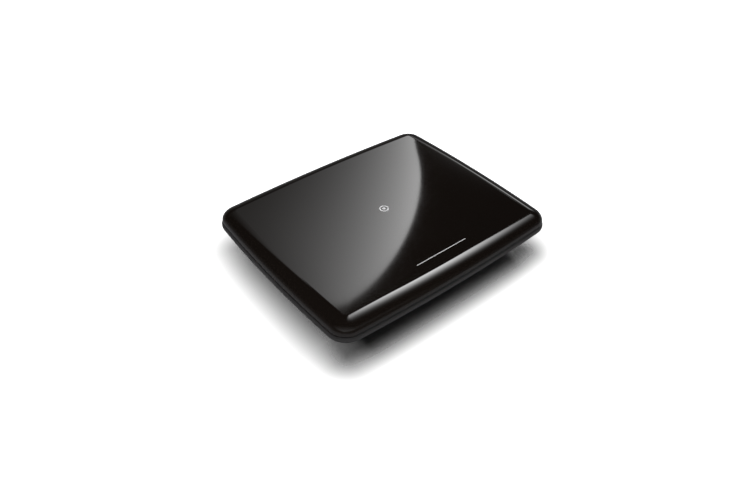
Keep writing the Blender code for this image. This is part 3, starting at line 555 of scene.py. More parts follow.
def apply_booleans(piece, steps):
    """Runs (operation, helper) pairs on piece, keeps the result as its mesh and removes the helpers."""
    for operation, other in steps:
        modifier = piece.modifiers.new("shape", "BOOLEAN")
        modifier.operation = operation
        modifier.object = other
        modifier.solver = "EXACT"
    bpy.context.view_layer.update()
    graph = bpy.context.evaluated_depsgraph_get()
    mesh = bpy.data.meshes.new_from_object(piece.evaluated_get(graph))
    piece.modifiers.clear()
    old = piece.data
    piece.data = mesh
    mesh.name = old.name
    bpy.data.meshes.remove(old)
    mesh.shade_smooth()
    mesh.set_sharp_from_angle(angle=SHARP_EDGE)
    for _, used in steps:
        bpy.data.objects.remove(used)


LID_INSIDE = [
    (13.0, 33.8), (10.0, 33.65), (8.0, 33.3), (5.0, 32.1),
    (3.4, 30.6), (2.9, 28.8), (2.9, 28.0), (3.05, 27.8),
]
LID_LIP = [(1.25, 27.8), (1.0, 27.9), (0.9, 28.1)]
rows = [level_row(inset * MM, height * MM) for inset, height in LID_INSIDE + LID_LIP]
rows += lid_edge_rows(LID_EDGE_STEPS) + lid_dome_rows(LID_DOME_STEPS)
shaping = []
for side in (-1, 1):
    notch_start = side * (BASE_KNUCKLE[0] - 0.4 * MM)
    shaping.append(("DIFFERENCE", hinge_barrel(notch_start, side * LID_KNUCKLE[0], NOTCH_RADIUS)))
    shaping.append(("UNION", hinge_barrel(side * LID_KNUCKLE[0], side * LID_KNUCKLE[1], KNUCKLE_RADIUS)))
lid = finished("lid_shell", loft(rows), "screen_lid", "gloss_shell", replaced=["lid_cover"], shaping=shaping)
print("lid:", len(lid.data.polygons), "faces")

# %% [markdown]
# ## Marks on the lid
#
# The makers print two things on the lid: a badge in its middle and a line of small type by the front edge.
# Here both are plain: a ring with a dot in it, like a disc, and a thin rule. Ink follows the surface that it
# is printed on, so each mark is a thin sheet whose corners take their height from the dome.


# %% Badge and rule
def draped(rows, closed, thickness=0.05 * MM):
    """A thin sheet laid on the dome, from two rows of XY points that are closed loops or open lines."""
    bm = bmesh.new()
    strips = []
    for lift in (-0.02 * MM, thickness):
        strips += [[bm.verts.new((*p, dome_height(*p) + lift)) for p in row] for row in rows]
    under_near, under_far, near, far = strips
    count = len(near)
    for i in range(count if closed else count - 1):
        j = (i + 1) % count
        for one, other in ((under_near, under_far), (near, far), (under_near, near), (under_far, far)):
            bm.faces.new((one[i], one[j], other[j], other[i]))
    if not closed:
        for i in (0, -1):
            bm.faces.new((under_near[i], under_far[i], far[i], near[i]))
    bmesh.ops.recalc_face_normals(bm, faces=bm.faces)
    return bm


def round_row(centre, radius, steps=56):
    return arc(Vector(centre), radius, 0, 2 * math.pi * (steps - 1) / steps, steps - 1)


BADGE = (2.0 * MM, -0.3 * MM)
BADGE_RADII = {"badge_ring": (3.4, 2.6), "badge_dot": (1.1, 0.3)}
RULE_START, RULE_LENGTH, RULE_Y, RULE_HALF_WIDTH, RULE_STEPS = -18.9, 43.3, -59.6, 0.25, 24
for name, radii in BADGE_RADII.items():
    sheet = draped([round_row(BADGE, radius * MM) for radius in radii], True)
    finished(name, sheet, "screen_lid", "key_silver")
rule_x = [(RULE_START + RULE_LENGTH * step / RULE_STEPS) * MM for step in range(RULE_STEPS + 1)]
rule_y = [RULE_Y * MM + side * RULE_HALF_WIDTH * MM for side in (-1, 1)]
rule = draped([[Vector((x, y)) for x in rule_x] for y in rule_y], False)
finished("lid_rule", rule, "screen_lid", "key_silver", finish=mark_ink)
print("badge at", [round(value / MM, 1) for value in BADGE], "mm")

# %% [markdown]
# ## Patterns
#
# A perforated grille, a knurled wheel and a row of slots each follow a rule, so Geometry Nodes make them. A
# `Pattern` is a tree with named inputs. Its result is kept as a plain mesh, and the modifier goes away.


# %% Pattern trees
class Pattern(Graph):
    """A Geometry Nodes tree with named sizes."""

    def __init__(self, name, **sizes):
        super().__init__(bpy.data.node_groups.new(name, "GeometryNodeTree"))
        self.sizes = sizes
        self.identifiers = {}
        for label, value in sizes.items():
            kind = "NodeSocketInt" if isinstance(value, int) else "NodeSocketFloat"
            socket = self.tree.interface.new_socket(label, in_out="INPUT", socket_type=kind)
            self.identifiers[label] = socket.identifier
        self.tree.interface.new_socket("Geometry", in_out="OUTPUT", socket_type="NodeSocketGeometry")
        self.entry = self.tree.nodes.new("NodeGroupInput")
        self.exit = self.tree.nodes.new("NodeGroupOutput")

    def __getitem__(self, label):
        return Signal(self, self.entry.outputs[label])

    def vector(self, x=0.0, y=0.0, z=0.0):
        return self.add("ShaderNodeCombineXYZ", sockets={"X": x, "Y": y, "Z": z})

    def position(self):
        return self.split(self.add("GeometryNodeInputPosition"))

    def join(self, *parts):
        joined = self.add("GeometryNodeJoinGeometry")
        for part in parts:
            self.tree.links.new(part.socket, joined.socket.node.inputs[0])
        return joined

    def filled(self, *curves):
        shape = self.join(*curves) if len(curves) > 1 else curves[0]
        return self.add("GeometryNodeFillCurve", {"mode": "TRIANGLES"}, {"Curve": shape})

    def slab(self, flat, thickness):
        """A flat sheet made solid: pulled up, and closed below by a turned-over copy."""
        sockets = {"Mesh": flat, "Offset Scale": thickness, "Individual": False}
        top = self.add("GeometryNodeExtrudeMesh", {"mode": "FACES"}, sockets)
        base = self.add("GeometryNodeFlipFaces", sockets={"Mesh": flat})
        return self.merged(self.join(top, base))

    def merged(self, geometry):
        return self.add("GeometryNodeMergeByDistance", sockets={"Geometry": geometry, "Distance": 0.01 * MM})

    def instances(self, points, instance, **sockets):
        sockets = {"Points": points, "Instance": instance, **sockets}
        return self.add("GeometryNodeInstanceOnPoints", sockets=sockets)

    def circle(self, resolution, radius):
        sockets = {"Resolution": resolution, "Radius": radius}
        return self.add("GeometryNodeCurvePrimitiveCircle", sockets=sockets)

    def cylinder(self, vertices, radius, depth):
        sockets = {"Vertices": vertices, "Radius": radius, "Depth": depth}
        return self.add("GeometryNodeMeshCylinder", sockets=sockets)

    def realized(self, geometry):
        return self.add("GeometryNodeRealizeInstances", sockets={"Geometry": geometry})

    def made(self, geometry, finish):
        """Runs the tree once and returns its result as a bmesh."""
        coated = self.add(
            "GeometryNodeSetMaterial", sockets={"Geometry": self.realized(geometry), "Material": finish}
        )
        self.tree.links.new(coated.socket, self.exit.inputs[0])
        carrier = bpy.data.objects.new("carrier", bpy.data.meshes.new("carrier"))
        bpy.context.scene.collection.objects.link(carrier)
        modifier = carrier.modifiers.new("pattern", "NODES")
        modifier.node_group = self.tree
        for label, value in self.sizes.items():
            modifier[self.identifiers[label]] = value
        bpy.context.view_layer.update()
        graph = bpy.context.evaluated_depsgraph_get()
        mesh = bpy.data.meshes.new_from_object(carrier.evaluated_get(graph))
        bpy.data.objects.remove(carrier)
        bm = bmesh.new()
        bm.from_mesh(mesh)
        bpy.data.meshes.remove(mesh)
        print(self.tree.name + ":", len(bm.faces), "faces")
        return bm


def moved(bm, matrix):
    bmesh.ops.transform(bm, matrix=matrix, verts=bm.verts)
    return bm


def perforated_sheet(finish):
    """A pill-shaped sheet made of six-sided cells, each with a round hole in it."""
    pattern = Pattern(
        "perforated_sheet", Length=30.6 * MM, Width=11.6 * MM, Pitch=1.25 * MM, Hole=0.42 * MM,
        Thickness=0.5 * MM, Columns=27, Rows=13,
    )
    row_pitch = pattern["Pitch"] * (math.sqrt(3) / 2)
    lattice = pattern.add("GeometryNodeMeshGrid", sockets={
        "Size X": pattern["Pitch"] * (pattern["Columns"] - 1.0),
        "Size Y": row_pitch * (pattern["Rows"] - 1.0),
        "Vertices X": pattern["Columns"],
        "Vertices Y": pattern["Rows"],
    })
    _, y, _ = pattern.position()
    odd_row = (y / row_pitch).rounded().remainder(2.0)
    staggered = pattern.add(
        "GeometryNodeSetPosition",
        sockets={"Geometry": lattice, "Offset": pattern.vector(odd_row * pattern["Pitch"] * 0.5)},
    )
    x, y, _ = pattern.position()
    past_core = (x.size() - (pattern["Length"] - pattern["Width"]) * 0.5).at_least(0.0)
    from_core = (past_core * past_core + y * y) ** 0.5
    kept = pattern.add(
        "GeometryNodeDeleteGeometry",
        {"domain": "POINT"},
        {"Geometry": staggered, "Selection": from_core > pattern["Width"] * 0.5},
    )
    cell = pattern.circle(6, pattern["Pitch"] / math.sqrt(3))
    hole = pattern.circle(12, pattern["Hole"])
    cells = pattern.instances(kept, pattern.filled(cell, hole), Rotation=(0.0, 0.0, math.radians(30)))
    sheet = pattern.merged(pattern.realized(cells))
    return pattern.made(pattern.slab(sheet, pattern["Thickness"]), finish)


def slot_row(finish):
    """A row of round-ended slots, as solid cutters."""
    pattern = Pattern(
        "slot_row", Count=11, Pitch=4.2 * MM, Slot_length=22 * MM, Slot_width=1.7 * MM, Thickness=4 * MM
    )
    spacing = pattern.vector(pattern["Pitch"])
    line = pattern.add("GeometryNodeMeshLine", sockets={"Count": pattern["Count"], "Offset": spacing})
    outline_curve = pattern.add(
        "GeometryNodeCurvePrimitiveQuadrilateral",
        sockets={"Width": pattern["Slot_width"], "Height": pattern["Slot_length"]},
    )
    rounded_curve = pattern.add(
        "GeometryNodeFilletCurve",
        {"mode": "POLY"},
        {"Curve": outline_curve, "Count": 6, "Radius": pattern["Slot_width"] * 0.49},
    )
    slot = pattern.slab(pattern.filled(rounded_curve), pattern["Thickness"])
    return pattern.made(pattern.instances(line, slot), finish)


def knurled_rim(finish):
    """A disc with small ridges round its edge."""
    pattern = Pattern("knurled_rim", Ridges=60, Radius=6.72 * MM, Thickness=2.6 * MM, Ridge=0.42 * MM)
    disc = pattern.cylinder(96, pattern["Radius"], pattern["Thickness"])
    ring_sockets = {"Vertices": pattern["Ridges"], "Radius": pattern["Radius"] - 0.02 * MM}
    ring = pattern.add("GeometryNodeMeshCircle", sockets=ring_sockets)
    from_middle = pattern.add("GeometryNodeInputPosition")
    outward = pattern.add("FunctionNodeAlignRotationToVector", {"axis": "X"}, {"Vector": from_middle})
    ridge = pattern.cylinder(6, pattern["Ridge"] * 0.62, pattern["Thickness"] * 0.84)
    ridges = pattern.instances(ring, ridge, Rotation=outward)
    return pattern.made(pattern.join(disc, ridges), finish)


# %% [markdown]
# ## Turned and moulded shapes
#
# Round parts are turned from a profile, and keys are stacks of rounded outlines, each a little smaller than
# the one below, which rounds their edges and dishes their tops. Plain parts of the frame that need only
# softer edges are copied, cleaned of the triangles' inner edges and bevelled.


# %% Makers of moulded parts
def turned(profile, steps=64, ring=False):
    """Turns (radius, height) pairs in millimetres about the vertical. A ring's profile closes on itself."""
    bm = bmesh.new()
    rows = []
    for radius, height in profile:
        if radius == 0:
            rows.append([bm.verts.new((0, 0, height * MM))] * steps)
            continue
        angles = [2 * math.pi * step / steps for step in range(steps)]
        spots = [(radius * MM * math.cos(a), radius * MM * math.sin(a), height * MM) for a in angles]
        rows.append([bm.verts.new(spot) for spot in spots])
    pairs = list(zip(rows, rows[1:]))
    if ring:
        pairs.append((rows[-1], rows[0]))
    for lower, upper in pairs:
        for i in range(steps):
            corners = (lower[i], lower[(i + 1) % steps], upper[(i + 1) % steps], upper[i])
            bm.faces.new(list(dict.fromkeys(corners)))
    bmesh.ops.recalc_face_normals(bm, faces=bm.faces)
    return bm


def rounded(centre, size, radius, inset=0.0, steps=8):
    """A rounded rectangle as XY points, moved in by inset. All sizes are in millimetres."""
    radius = max(radius - inset, 0.02)
    points = []
    for x_side, y_side, start in ((1, 1, 0), (-1, 1, 90), (-1, -1, 180), (1, -1, 270)):
        corner_x = centre[0] + x_side * (size[0] / 2 - inset - radius)
        corner_y = centre[1] + y_side * (size[1] / 2 - inset - radius)
        for step in range(steps + 1):
            angle = math.radians(start + 90 * step / steps)
            spot = (corner_x + radius * math.cos(angle), corner_y + radius * math.sin(angle))
            points.append(Vector(spot) * MM)
    return points


def in_millimetres(points):
    return [point / MM for point in points]


def at(x, y, z=0.0):
    """A move to a place in millimetres."""
    return Matrix.Translation((x * MM, y * MM, z * MM))


def stacked(outline_at, profile):
    """A solid through outlines at (inset, height) pairs in millimetres."""
    return loft([[Vector((*point, height * MM)) for point in outline_at(inset)] for inset, height in profile])


def prisms(polygons, low, high):
    """Straight solids on polygons, as one bmesh."""
    bm = bmesh.new()
    for polygon in polygons:
        floor = [bm.verts.new((x * MM, y * MM, low * MM)) for x, y in polygon]
        roof = [bm.verts.new((x * MM, y * MM, high * MM)) for x, y in polygon]
        for i in range(len(polygon)):
            j = (i + 1) % len(polygon)
            bm.faces.new((floor[i], floor[j], roof[j], roof[i]))
        bm.faces.new(floor)
        bm.faces.new(roof)
    bmesh.ops.recalc_face_normals(bm, faces=bm.faces)
    return bm


MERGE_DISTANCE = 0.002 * MM
FLAT_ANGLE, BEVEL_ANGLE = math.radians(0.6), math.radians(35)


def softened(node, width):
    """A part of the frame with bevelled edges and smooth shading, in its place and instead of it."""
    source = frame["nodes"][node]
    bm = bmesh.new()
    bm.from_mesh(source.data)
    moved(bm, source.matrix_world)
    bmesh.ops.remove_doubles(bm, verts=bm.verts, dist=MERGE_DISTANCE)
    bmesh.ops.dissolve_limit(bm, angle_limit=FLAT_ANGLE, verts=bm.verts, edges=bm.edges)
    soft = helper(bm)
    bevel = soft.modifiers.new("soft_edges", "BEVEL")
    bevel.width = width * MM
    bevel.segments = 2
    bevel.limit_method = "ANGLE"
    bevel.angle_limit = BEVEL_ANGLE
    bpy.context.view_layer.update()
    mesh = bpy.data.meshes.new_from_object(soft.evaluated_get(bpy.context.evaluated_depsgraph_get()))
    bpy.data.objects.remove(soft)
    bm = bmesh.new()
    bm.from_mesh(mesh)
    bpy.data.meshes.remove(mesh)
    return finished("soft_" + node, bm, body_of_node[node], slot_of_node[node], replaced=[node])


print("makers ready")

# %% [markdown]
# ## The case
#
# The upper case is one moulding: a raised lip, the widest band, and the start of the undercut, with a cove
# at the back for the hinge and openings for the disc door and the keys. The lower case goes on with the
# undercut at the same slope, which makes the player look thinner than it is. Both are lofted from the fine
# outline and then cut, as a mould does with inserts.

# %% Upper case
CASE_SLOPE = 0.95
SPINDLE = Vector((-19 * MM, -3 * MM))
DOOR_HINGE = (64.8 * MM, 24.7 * MM)
KEY_PLACES = [(x, y) for y in (-4, -16, -28) for x in (63, 76)]
PAD = (69.5, 20)
DOOR_BUTTON, REMOTE_WINDOW = (62, -43), (78, -43)
KEY_SIZE, BUTTON_SIZE, WINDOW_SIZE = (9, 5), (14, 6), (9, 4)
SCREW_PLACES = [(x, y) for x in (-67, 67) for y in (-51, 51)]
FOOT_PLACES = [(x, y) for x in (-56, 56) for y in (-44, 44)]
DAMPER_PLACES = ((-44, -31), (-44, 25), (31.5, -3))
LABEL_PLACE = (0, 14)


def undercut(height):
    """How far in the sloping wall is, at a height. Both are in millimetres."""
    return 0.9 + (23.0 - height) * CASE_SLOPE


def cased(profile):
    return loft([level_row(inset * MM, height * MM) for inset, height in profile])


def door_points(extra, back, steps=110):
    """The disc door's outline: most of a circle, with a straight tab to its hinge."""
    radius, half = 66 * MM + extra, 30 * MM + extra
    start = math.acos(half / radius)
    angles = [math.pi - start + (math.pi + 2 * start) * step / steps for step in range(steps + 1)]
    points = [SPINDLE + radius * Vector((math.cos(angle), math.sin(angle))) for angle in angles]
    return points + [Vector((SPINDLE.x + half, back)), Vector((SPINDLE.x - half, back))]


def deck_openings():
    """Every opening in the deck, as one helper: the door's, the keys' and the pad's."""
    outlines = [in_millimetres(door_points(0.6 * MM, DOOR_HINGE[0] + 2.5 * MM))]
    pills = [(place, KEY_SIZE) for place in KEY_PLACES]
    for place, size in pills + [(DOOR_BUTTON, BUTTON_SIZE), (REMOTE_WINDOW, WINDOW_SIZE)]:
        outlines.append(in_millimetres(rounded(place, size, min(size) / 2, -0.4)))
    outlines.append(in_millimetres(rounded(PAD, (22.8, 22.8), 11.4, steps=14)))
    return helper(prisms(outlines, 23.8, 28.3))


def upright(place, low, high, radius, segments):
    """An upright cylinder as a helper. All sizes are in millimetres."""
    x, y = place
    return barrel((x * MM, y * MM, low * MM), (x * MM, y * MM, high * MM), radius * MM, segments)


lip = [(3.3, 26.6), (3.12, 26.65), (3.0, 26.8), (3.0, 27.12), (2.85, 27.3)]
band = [(1.0, 27.3), (0.84, 27.24), (0.72, 27.1), (0.35, 26.5), (0.1, 26.0), (0, 25.4), (0, 24.4)]
under = [
    (0.1, 24.0), (0.35, 23.6), (0.9, 23.0), (3.36, 20.42), (3.5, 20.3), (5.9, 20.3), (3.0, 23.2), (2.8, 24.8),
]
shaping = [
    ("UNION", block((-71.5 * MM, 70.8 * MM, 20.3 * MM), (71.5 * MM, 75.3 * MM, 26.6 * MM))),
    ("DIFFERENCE", hinge_barrel(-70 * MM, 70 * MM, 4.0 * MM)),
]
for side in (-1, 1):
    start, end = sorted(side * x for x in BASE_KNUCKLE)
    shaping.append(("UNION", block((start, 71.8 * MM, 22 * MM), (end, hinge.y, hinge.z))))
    shaping.append(("UNION", hinge_barrel(start, end, KNUCKLE_RADIUS)))
shaping.append(("DIFFERENCE", deck_openings()))
for place in SCREW_PLACES:
    shaping.append(("UNION", upright(place, 16.6, 25.2, 3, 24)))
    shaping.append(("DIFFERENCE", upright(place, 15, 21.6, 1.4, 20)))
for side in (-1, 1):
    start, end = sorted(SPINDLE.x + side * reach * MM for reach in (30.6, 34.6))
    shaping.append(("UNION", block((start, 62.4 * MM, 22.6 * MM), (end, 67.2 * MM, 25.6 * MM))))
shell = cased(lip + band + under)
finished("upper_shell", shell, "base", "satin_shell", replaced=["upper_case"], shaping=shaping)
print("upper case made")

# %% [markdown]
# ## The lower case
#
# The lower case is a tray. Inside stand four screw bosses and three posts for the drive's rubber dampers.
# Its floor has a row of vent slots, which Geometry Nodes lay out, and a shallow bed for a label, so that the
# label doesn't peel. The right wall has one long opening, which the side panel fills.

# %% Lower case
foot_edge = [
    (undercut(1.5) + 1.4, 1.5), (undercut(1.5) + 0.7, 1.56), (undercut(1.9), 1.9), (undercut(2.6), 2.6),
]
wall = [
    (undercut(19.9), 19.9), (undercut(20) + 0.15, 20), (undercut(20) + 2.5, 20), (undercut(3.5) + 2.5, 3.5),
]
SCREW_WAY = [(0, -1), (2.6, -1), (2.6, 3.9), (1.5, 3.9), (1.5, 18), (0, 18)]
DAMPER_POST = [(0, 3), (3, 3), (3, 7.2), (1.2, 7.2), (1.2, 10.8), (1.0, 11), (0, 11)]
shaping = []
for place in SCREW_PLACES:
    shaping.append(("UNION", upright(place, 3, 16.3, 3, 24)))
    shaping.append(("DIFFERENCE", helper(moved(turned(SCREW_WAY, 28), at(*place)))))
for place in DAMPER_PLACES:
    shaping.append(("UNION", helper(moved(turned(DAMPER_POST, 24), at(*place)))))
shaping.append(("DIFFERENCE", block((78 * MM, -38.3 * MM, 11.9 * MM), (100 * MM, 38.3 * MM, 19.3 * MM))))
shaping.append(("DIFFERENCE", helper(moved(slot_row(finishes["satin_shell"]), at(-21, -34, 0.5)))))
label_bed = prisms([in_millimetres(rounded(LABEL_PLACE, (66, 32), 3))], 0.5, 1.75)
shaping.append(("DIFFERENCE", helper(label_bed)))
shell = cased(foot_edge + wall)
finished("lower_shell", shell, "base", "satin_shell", replaced=["lower_case"], shaping=shaping)
label = stacked(lambda inset: rounded(LABEL_PLACE, (64, 30), 2.5, inset), [(0, 1.8), (0, 1.64), (0.05, 1.6)])
finished("blank_label", label, "base", "satin_shell", finish=label_paper)
print("lower case made")

# %% [markdown]
# ## Keys and marks
#
# Each key is a pill with a flange below the deck, which keeps it from falling out, and a slightly dished
# top that the finger finds. Playback signs are simple raised shapes, the same on every such device.

# %% Keys
KEY_TOP = [(0, 26.72), (0.06, 26.9), (0.18, 27.03), (0.4, 27.1), (0.8, 27.07), (1.4, 27.0), (1.9, 26.98)]
FLANGE = [(-1.2, 23.6), (-1.2, 24.4), (0, 24.4)]
bar = [(-0.28, -1.0), (0.28, -1.0), (0.28, 1.0), (-0.28, 1.0)]
arrow = [(-0.8, -1.0), (0.9, 0.0), (-0.8, 1.0)]


def placed(polygon, x, y, turn=0.0):
    """A polygon turned by degrees and then moved, in millimetres."""
    cos, sin = math.cos(math.radians(turn)), math.sin(math.radians(turn))
    return [(x + px * cos - py * sin, y + px * sin + py * cos) for px, py in polygon]


SIGNS = [
    [placed(arrow, 0, 0)],
    [placed([(-0.9, -0.9), (0.9, -0.9), (0.9, 0.9), (-0.9, 0.9)], 0, 0)],
    [placed(arrow, 0.9, 0, 180), placed(arrow, -0.9, 0, 180), placed(bar, -2.1, 0)],
    [placed(arrow, -0.9, 0), placed(arrow, 0.9, 0), placed(bar, 2.1, 0)],
    [placed(bar, -0.6, 0), placed(bar, 0.6, 0)],
    [placed(bar, 0, y, 90) for y in (-0.9, 0, 0.9)],
]
for number, (place, sign) in enumerate(zip(KEY_PLACES, SIGNS), 1):
    key = stacked(lambda inset, place=place: rounded(place, KEY_SIZE, 2.5, inset), FLANGE + KEY_TOP)
    finished(f"moulded_key_{number}", key, f"key_{number}_body", "key_silver", replaced=[f"key_{number}"])
    ink = prisms([placed(polygon, *place) for polygon in sign], 26.9, 27.02)
    finished(f"key_sign_{number}", ink, f"key_{number}_body", "key_silver", finish=finishes["matte_trim"])
button = stacked(lambda inset: rounded(DOOR_BUTTON, BUTTON_SIZE, 3, inset), FLANGE + KEY_TOP)
finished("moulded_door_button", button, "door_button_body", "satin_shell", replaced=["door_button"])
button_x, button_y = DOOR_BUTTON
sign = [placed(arrow, button_x, button_y + 0.3, 90), placed(bar, button_x, button_y - 1.0, 90)]
finished("door_button_sign", prisms(sign, 26.9, 27.03), "door_button_body", "satin_shell", finish=mark_ink)

PAD_PROFILE = [
    (12.2, 23.6), (12.2, 24.4), (11, 24.4), (11, 26.6), (10.9, 26.9), (10.6, 27.08), (10.3, 27.1),
    (9.6, 27.02), (8.8, 27.0), (5.0, 27.0), (4.2, 26.95), (4.0, 26.8), (4.0, 25.2), (5.0, 25.2), (5.0, 23.6),
]
ENTER_PROFILE = [
    (0, 23.6), (4.6, 23.6), (4.6, 24.6), (3.6, 24.6), (3.6, 26.7), (3.5, 26.95), (3.2, 27.1), (2.6, 27.05),
    (0, 26.9),
]
FOUR_WAYS = ((1, 0, 0), (0, 1, 90), (-1, 0, 180), (0, -1, 270))
pad = moved(turned(PAD_PROFILE, 80, ring=True), at(*PAD))
finished("moulded_cursor_pad", pad, "cursor_pad_body", "key_silver", replaced=["cursor_pad"])
signs = prisms([placed(arrow, PAD[0] + 7 * x, PAD[1] + 7 * y, turn) for x, y, turn in FOUR_WAYS], 26.9, 27.04)
finished("cursor_pad_signs", signs, "cursor_pad_body", "key_silver", finish=finishes["matte_trim"])
enter = moved(turned(ENTER_PROFILE, 48), at(*PAD))
finished("moulded_enter_key", enter, "enter_key_body", "key_silver", replaced=["enter_key"])
WINDOW_PROFILE = [(0, 25.2), (0, 26.55), (0.12, 26.66), (0.35, 26.7)]
window = stacked(lambda inset: rounded(REMOTE_WINDOW, WINDOW_SIZE, 2, inset), WINDOW_PROFILE)
finished("domed_remote_window", window, "base", "screen_glass", replaced=["remote_window"])
print("keys made")

# %% [markdown]
# ## Screen side of the lid
#
# The bezel's window slopes towards the panel, so that no hard edge throws a shadow on the picture. Behind
# the two pill-shaped openings lie perforated grilles, in front of the speakers.

# %% Screen bezel and grilles
SCREEN_PLACE = (0, -12)
SPEAKER_X, SPEAKER_Y = 48, 53
BEZEL_PROFILE = [(3.9, 28.1), (3.65, 28.2), (3.6, 28.4), (3.6, 29.6), (3.7, 29.7)]
BEZEL_SLOPE = [(-1.0, 28.0), (-0.8, 28.12), (0, 29.0), (0, 30)]
POLARISER_PROFILE = [(0.1, 29.86), (0, 29.92), (0, 30.02)]
window = stacked(lambda inset: rounded(SCREEN_PLACE, (156, 89), 0.6, inset, 3), BEZEL_SLOPE)
shaping = [("DIFFERENCE", helper(window))]
for side in (-1, 1):
    opening = in_millimetres(rounded((side * SPEAKER_X, SPEAKER_Y), (30, 11), 5.4))
    shaping.append(("DIFFERENCE", helper(prisms([opening], 27, 31))))
    shaping.append(("DIFFERENCE", hinge_barrel(side * 39.6 * MM, side * 60.8 * MM, 4.0 * MM)))
bezel = cased(BEZEL_PROFILE)
finished("lined_bezel", bezel, "screen_lid", "satin_shell", replaced=["screen_bezel"], shaping=shaping)
for name, side in (("left", -1), ("right", 1)):
    sheet = moved(perforated_sheet(grille_metal), at(side * SPEAKER_X, SPEAKER_Y, 28.3))
    finished(name + "_grille", sheet, "screen_lid", "matte_trim", grille_metal)
polariser = stacked(lambda inset: rounded(SCREEN_PLACE, (151, 84.5), 0.5, inset, 3), POLARISER_PROFILE)
finished("polariser", polariser, "screen_lid", "screen_glass")
print("screen side made")

# %% [markdown]
# ## Disc door and turntable
#
# The door is glossy like the lid. A silver ring in it marks where the disc turns. Under it, the turntable
# has a rubber ring that grips the disc and three sprung balls that snap it into place.

# %% Door and turntable
door_rows = []
for inset, height in [(0.1, 24.8), (0, 24.9), (0, 26.45), (0.06, 26.62), (0.2, 26.76), (0.45, 26.8)]:
    points = door_points(-inset * MM, DOOR_HINGE[0] - inset * MM)
    door_rows.append([Vector((*point, height * MM)) for point in points])
hinge_ends = [(SPINDLE.x + side * 30 * MM, *DOOR_HINGE) for side in (-1, 1)]
bore_ends = [(SPINDLE.x + side * 30 * MM + side * MM, *DOOR_HINGE) for side in (-1, 1)]
shaping = [("UNION", barrel(*hinge_ends, 2.1 * MM)), ("DIFFERENCE", barrel(*bore_ends, 1.2 * MM))]
finished("glossy_door", loft(door_rows), "door", "gloss_shell", replaced=["disc_door"], shaping=shaping)

INLAY = [(21.0, 26.7), (21.0, 26.86), (21.2, 26.9), (22.1, 26.9), (22.3, 26.86), (22.3, 26.7)]
HUB = [
    (0, 23.3), (2.2, 23.3), (2.6, 23.58), (5.1, 23.6), (5.7, 23.4), (7.2, 21.7), (7.3, 21.4), (7.3, 20.8),
    (8.4, 20.8), (8.4, 20.5), (13.4, 20.5), (13.4, 20.8), (13.8, 20.78), (14, 20.6), (14, 19.7), (13.9, 19.6),
    (9, 19.6), (7, 16.4), (1, 16.4), (1, 12.8), (0, 12.8),
]
GRIP = [(8.6, 20.4), (8.6, 20.7), (8.8, 20.8), (13.0, 20.8), (13.2, 20.7), (13.2, 20.4)]
BALL_CIRCLE, BALL_RADIUS, BALL_HEIGHT = 6.4 * MM, 0.95 * MM, 22.0 * MM
at_spindle = Matrix.Translation((*SPINDLE, 0))
finished("door_inlay", moved(turned(INLAY, 96, ring=True), at_spindle), "door", "key_silver")
hub = moved(turned(HUB, 72), at_spindle)
finished("finned_turntable", hub, "spindle", "satin_shell", replaced=["turntable"])
finished("disc_grip", moved(turned(GRIP, 72, ring=True), at_spindle), "spindle", "rubber")
balls = bmesh.new()
for degrees in (90, 210, 330):
    angle = math.radians(degrees)
    spot = Vector((*SPINDLE, BALL_HEIGHT)) + BALL_CIRCLE * Vector((math.cos(angle), math.sin(angle), 0))
    ball_place = Matrix.Translation(spot)
    bmesh.ops.create_uvsphere(balls, u_segments=20, v_segments=12, radius=BALL_RADIUS, matrix=ball_place)
finished("snap_balls", balls, "spindle", "steel")
print("door and turntable made")

# %% [markdown]
# ## Lens and lead screw
#
# The pickup's lens is a tiny moulded dome in a rim, coated blue-violet. The lead screw drives the pickup. Its
# thread is turned here as rings one pitch apart, which looks the same as a helix at this size and closes
# cleanly at both ends.

# %% Lens and lead screw
LENS = [
    (0, 19.3), (2.4, 19.3), (2.4, 19.75), (2.3, 19.85), (1.8, 19.85), (1.7, 19.8), (1.5, 19.92), (1.1, 20.02),
    (0.6, 20.08), (0, 20.1),
]
THREAD_TURNS, THREAD_PITCH = 43, 1.25
lens = moved(turned(LENS, 40), Matrix.Translation((4 * MM, SPINDLE.y, 0)))
finished("domed_lens", lens, "sled", "screen_glass", lens_coating, ["pickup_lens"])
thread = [(0, -3.7), (0.9, -3.7), (0.9, -3.2)]
for start in (turn * THREAD_PITCH for turn in range(THREAD_TURNS)):
    thread += [(1.3, -2.9 + start), (1.3, -2.65 + start), (0.95, -2.4 + start), (0.95, -1.9 + start)]
thread += [(0.9, 51.4), (0.9, 52), (0, 52)]
on_side = Matrix.Rotation(math.radians(90), 4, "Y")
lead_screw = moved(turned(thread, 24), at(0, 27.5, 13.5) @ on_side)
finished("threaded_lead_screw", lead_screw, "sled_screw", "steel", replaced=["lead_screw"])
print("lens and lead screw made")

# %% [markdown]
# ## Side panel
#
# The sockets stand behind round openings, with a bright contact ring in each. The volume wheel's edge is
# knurled and shows in a slot, and the power slider has grip ribs. The rings are turned from a profile, and
# the knurling follows a rule, so it is a pattern.

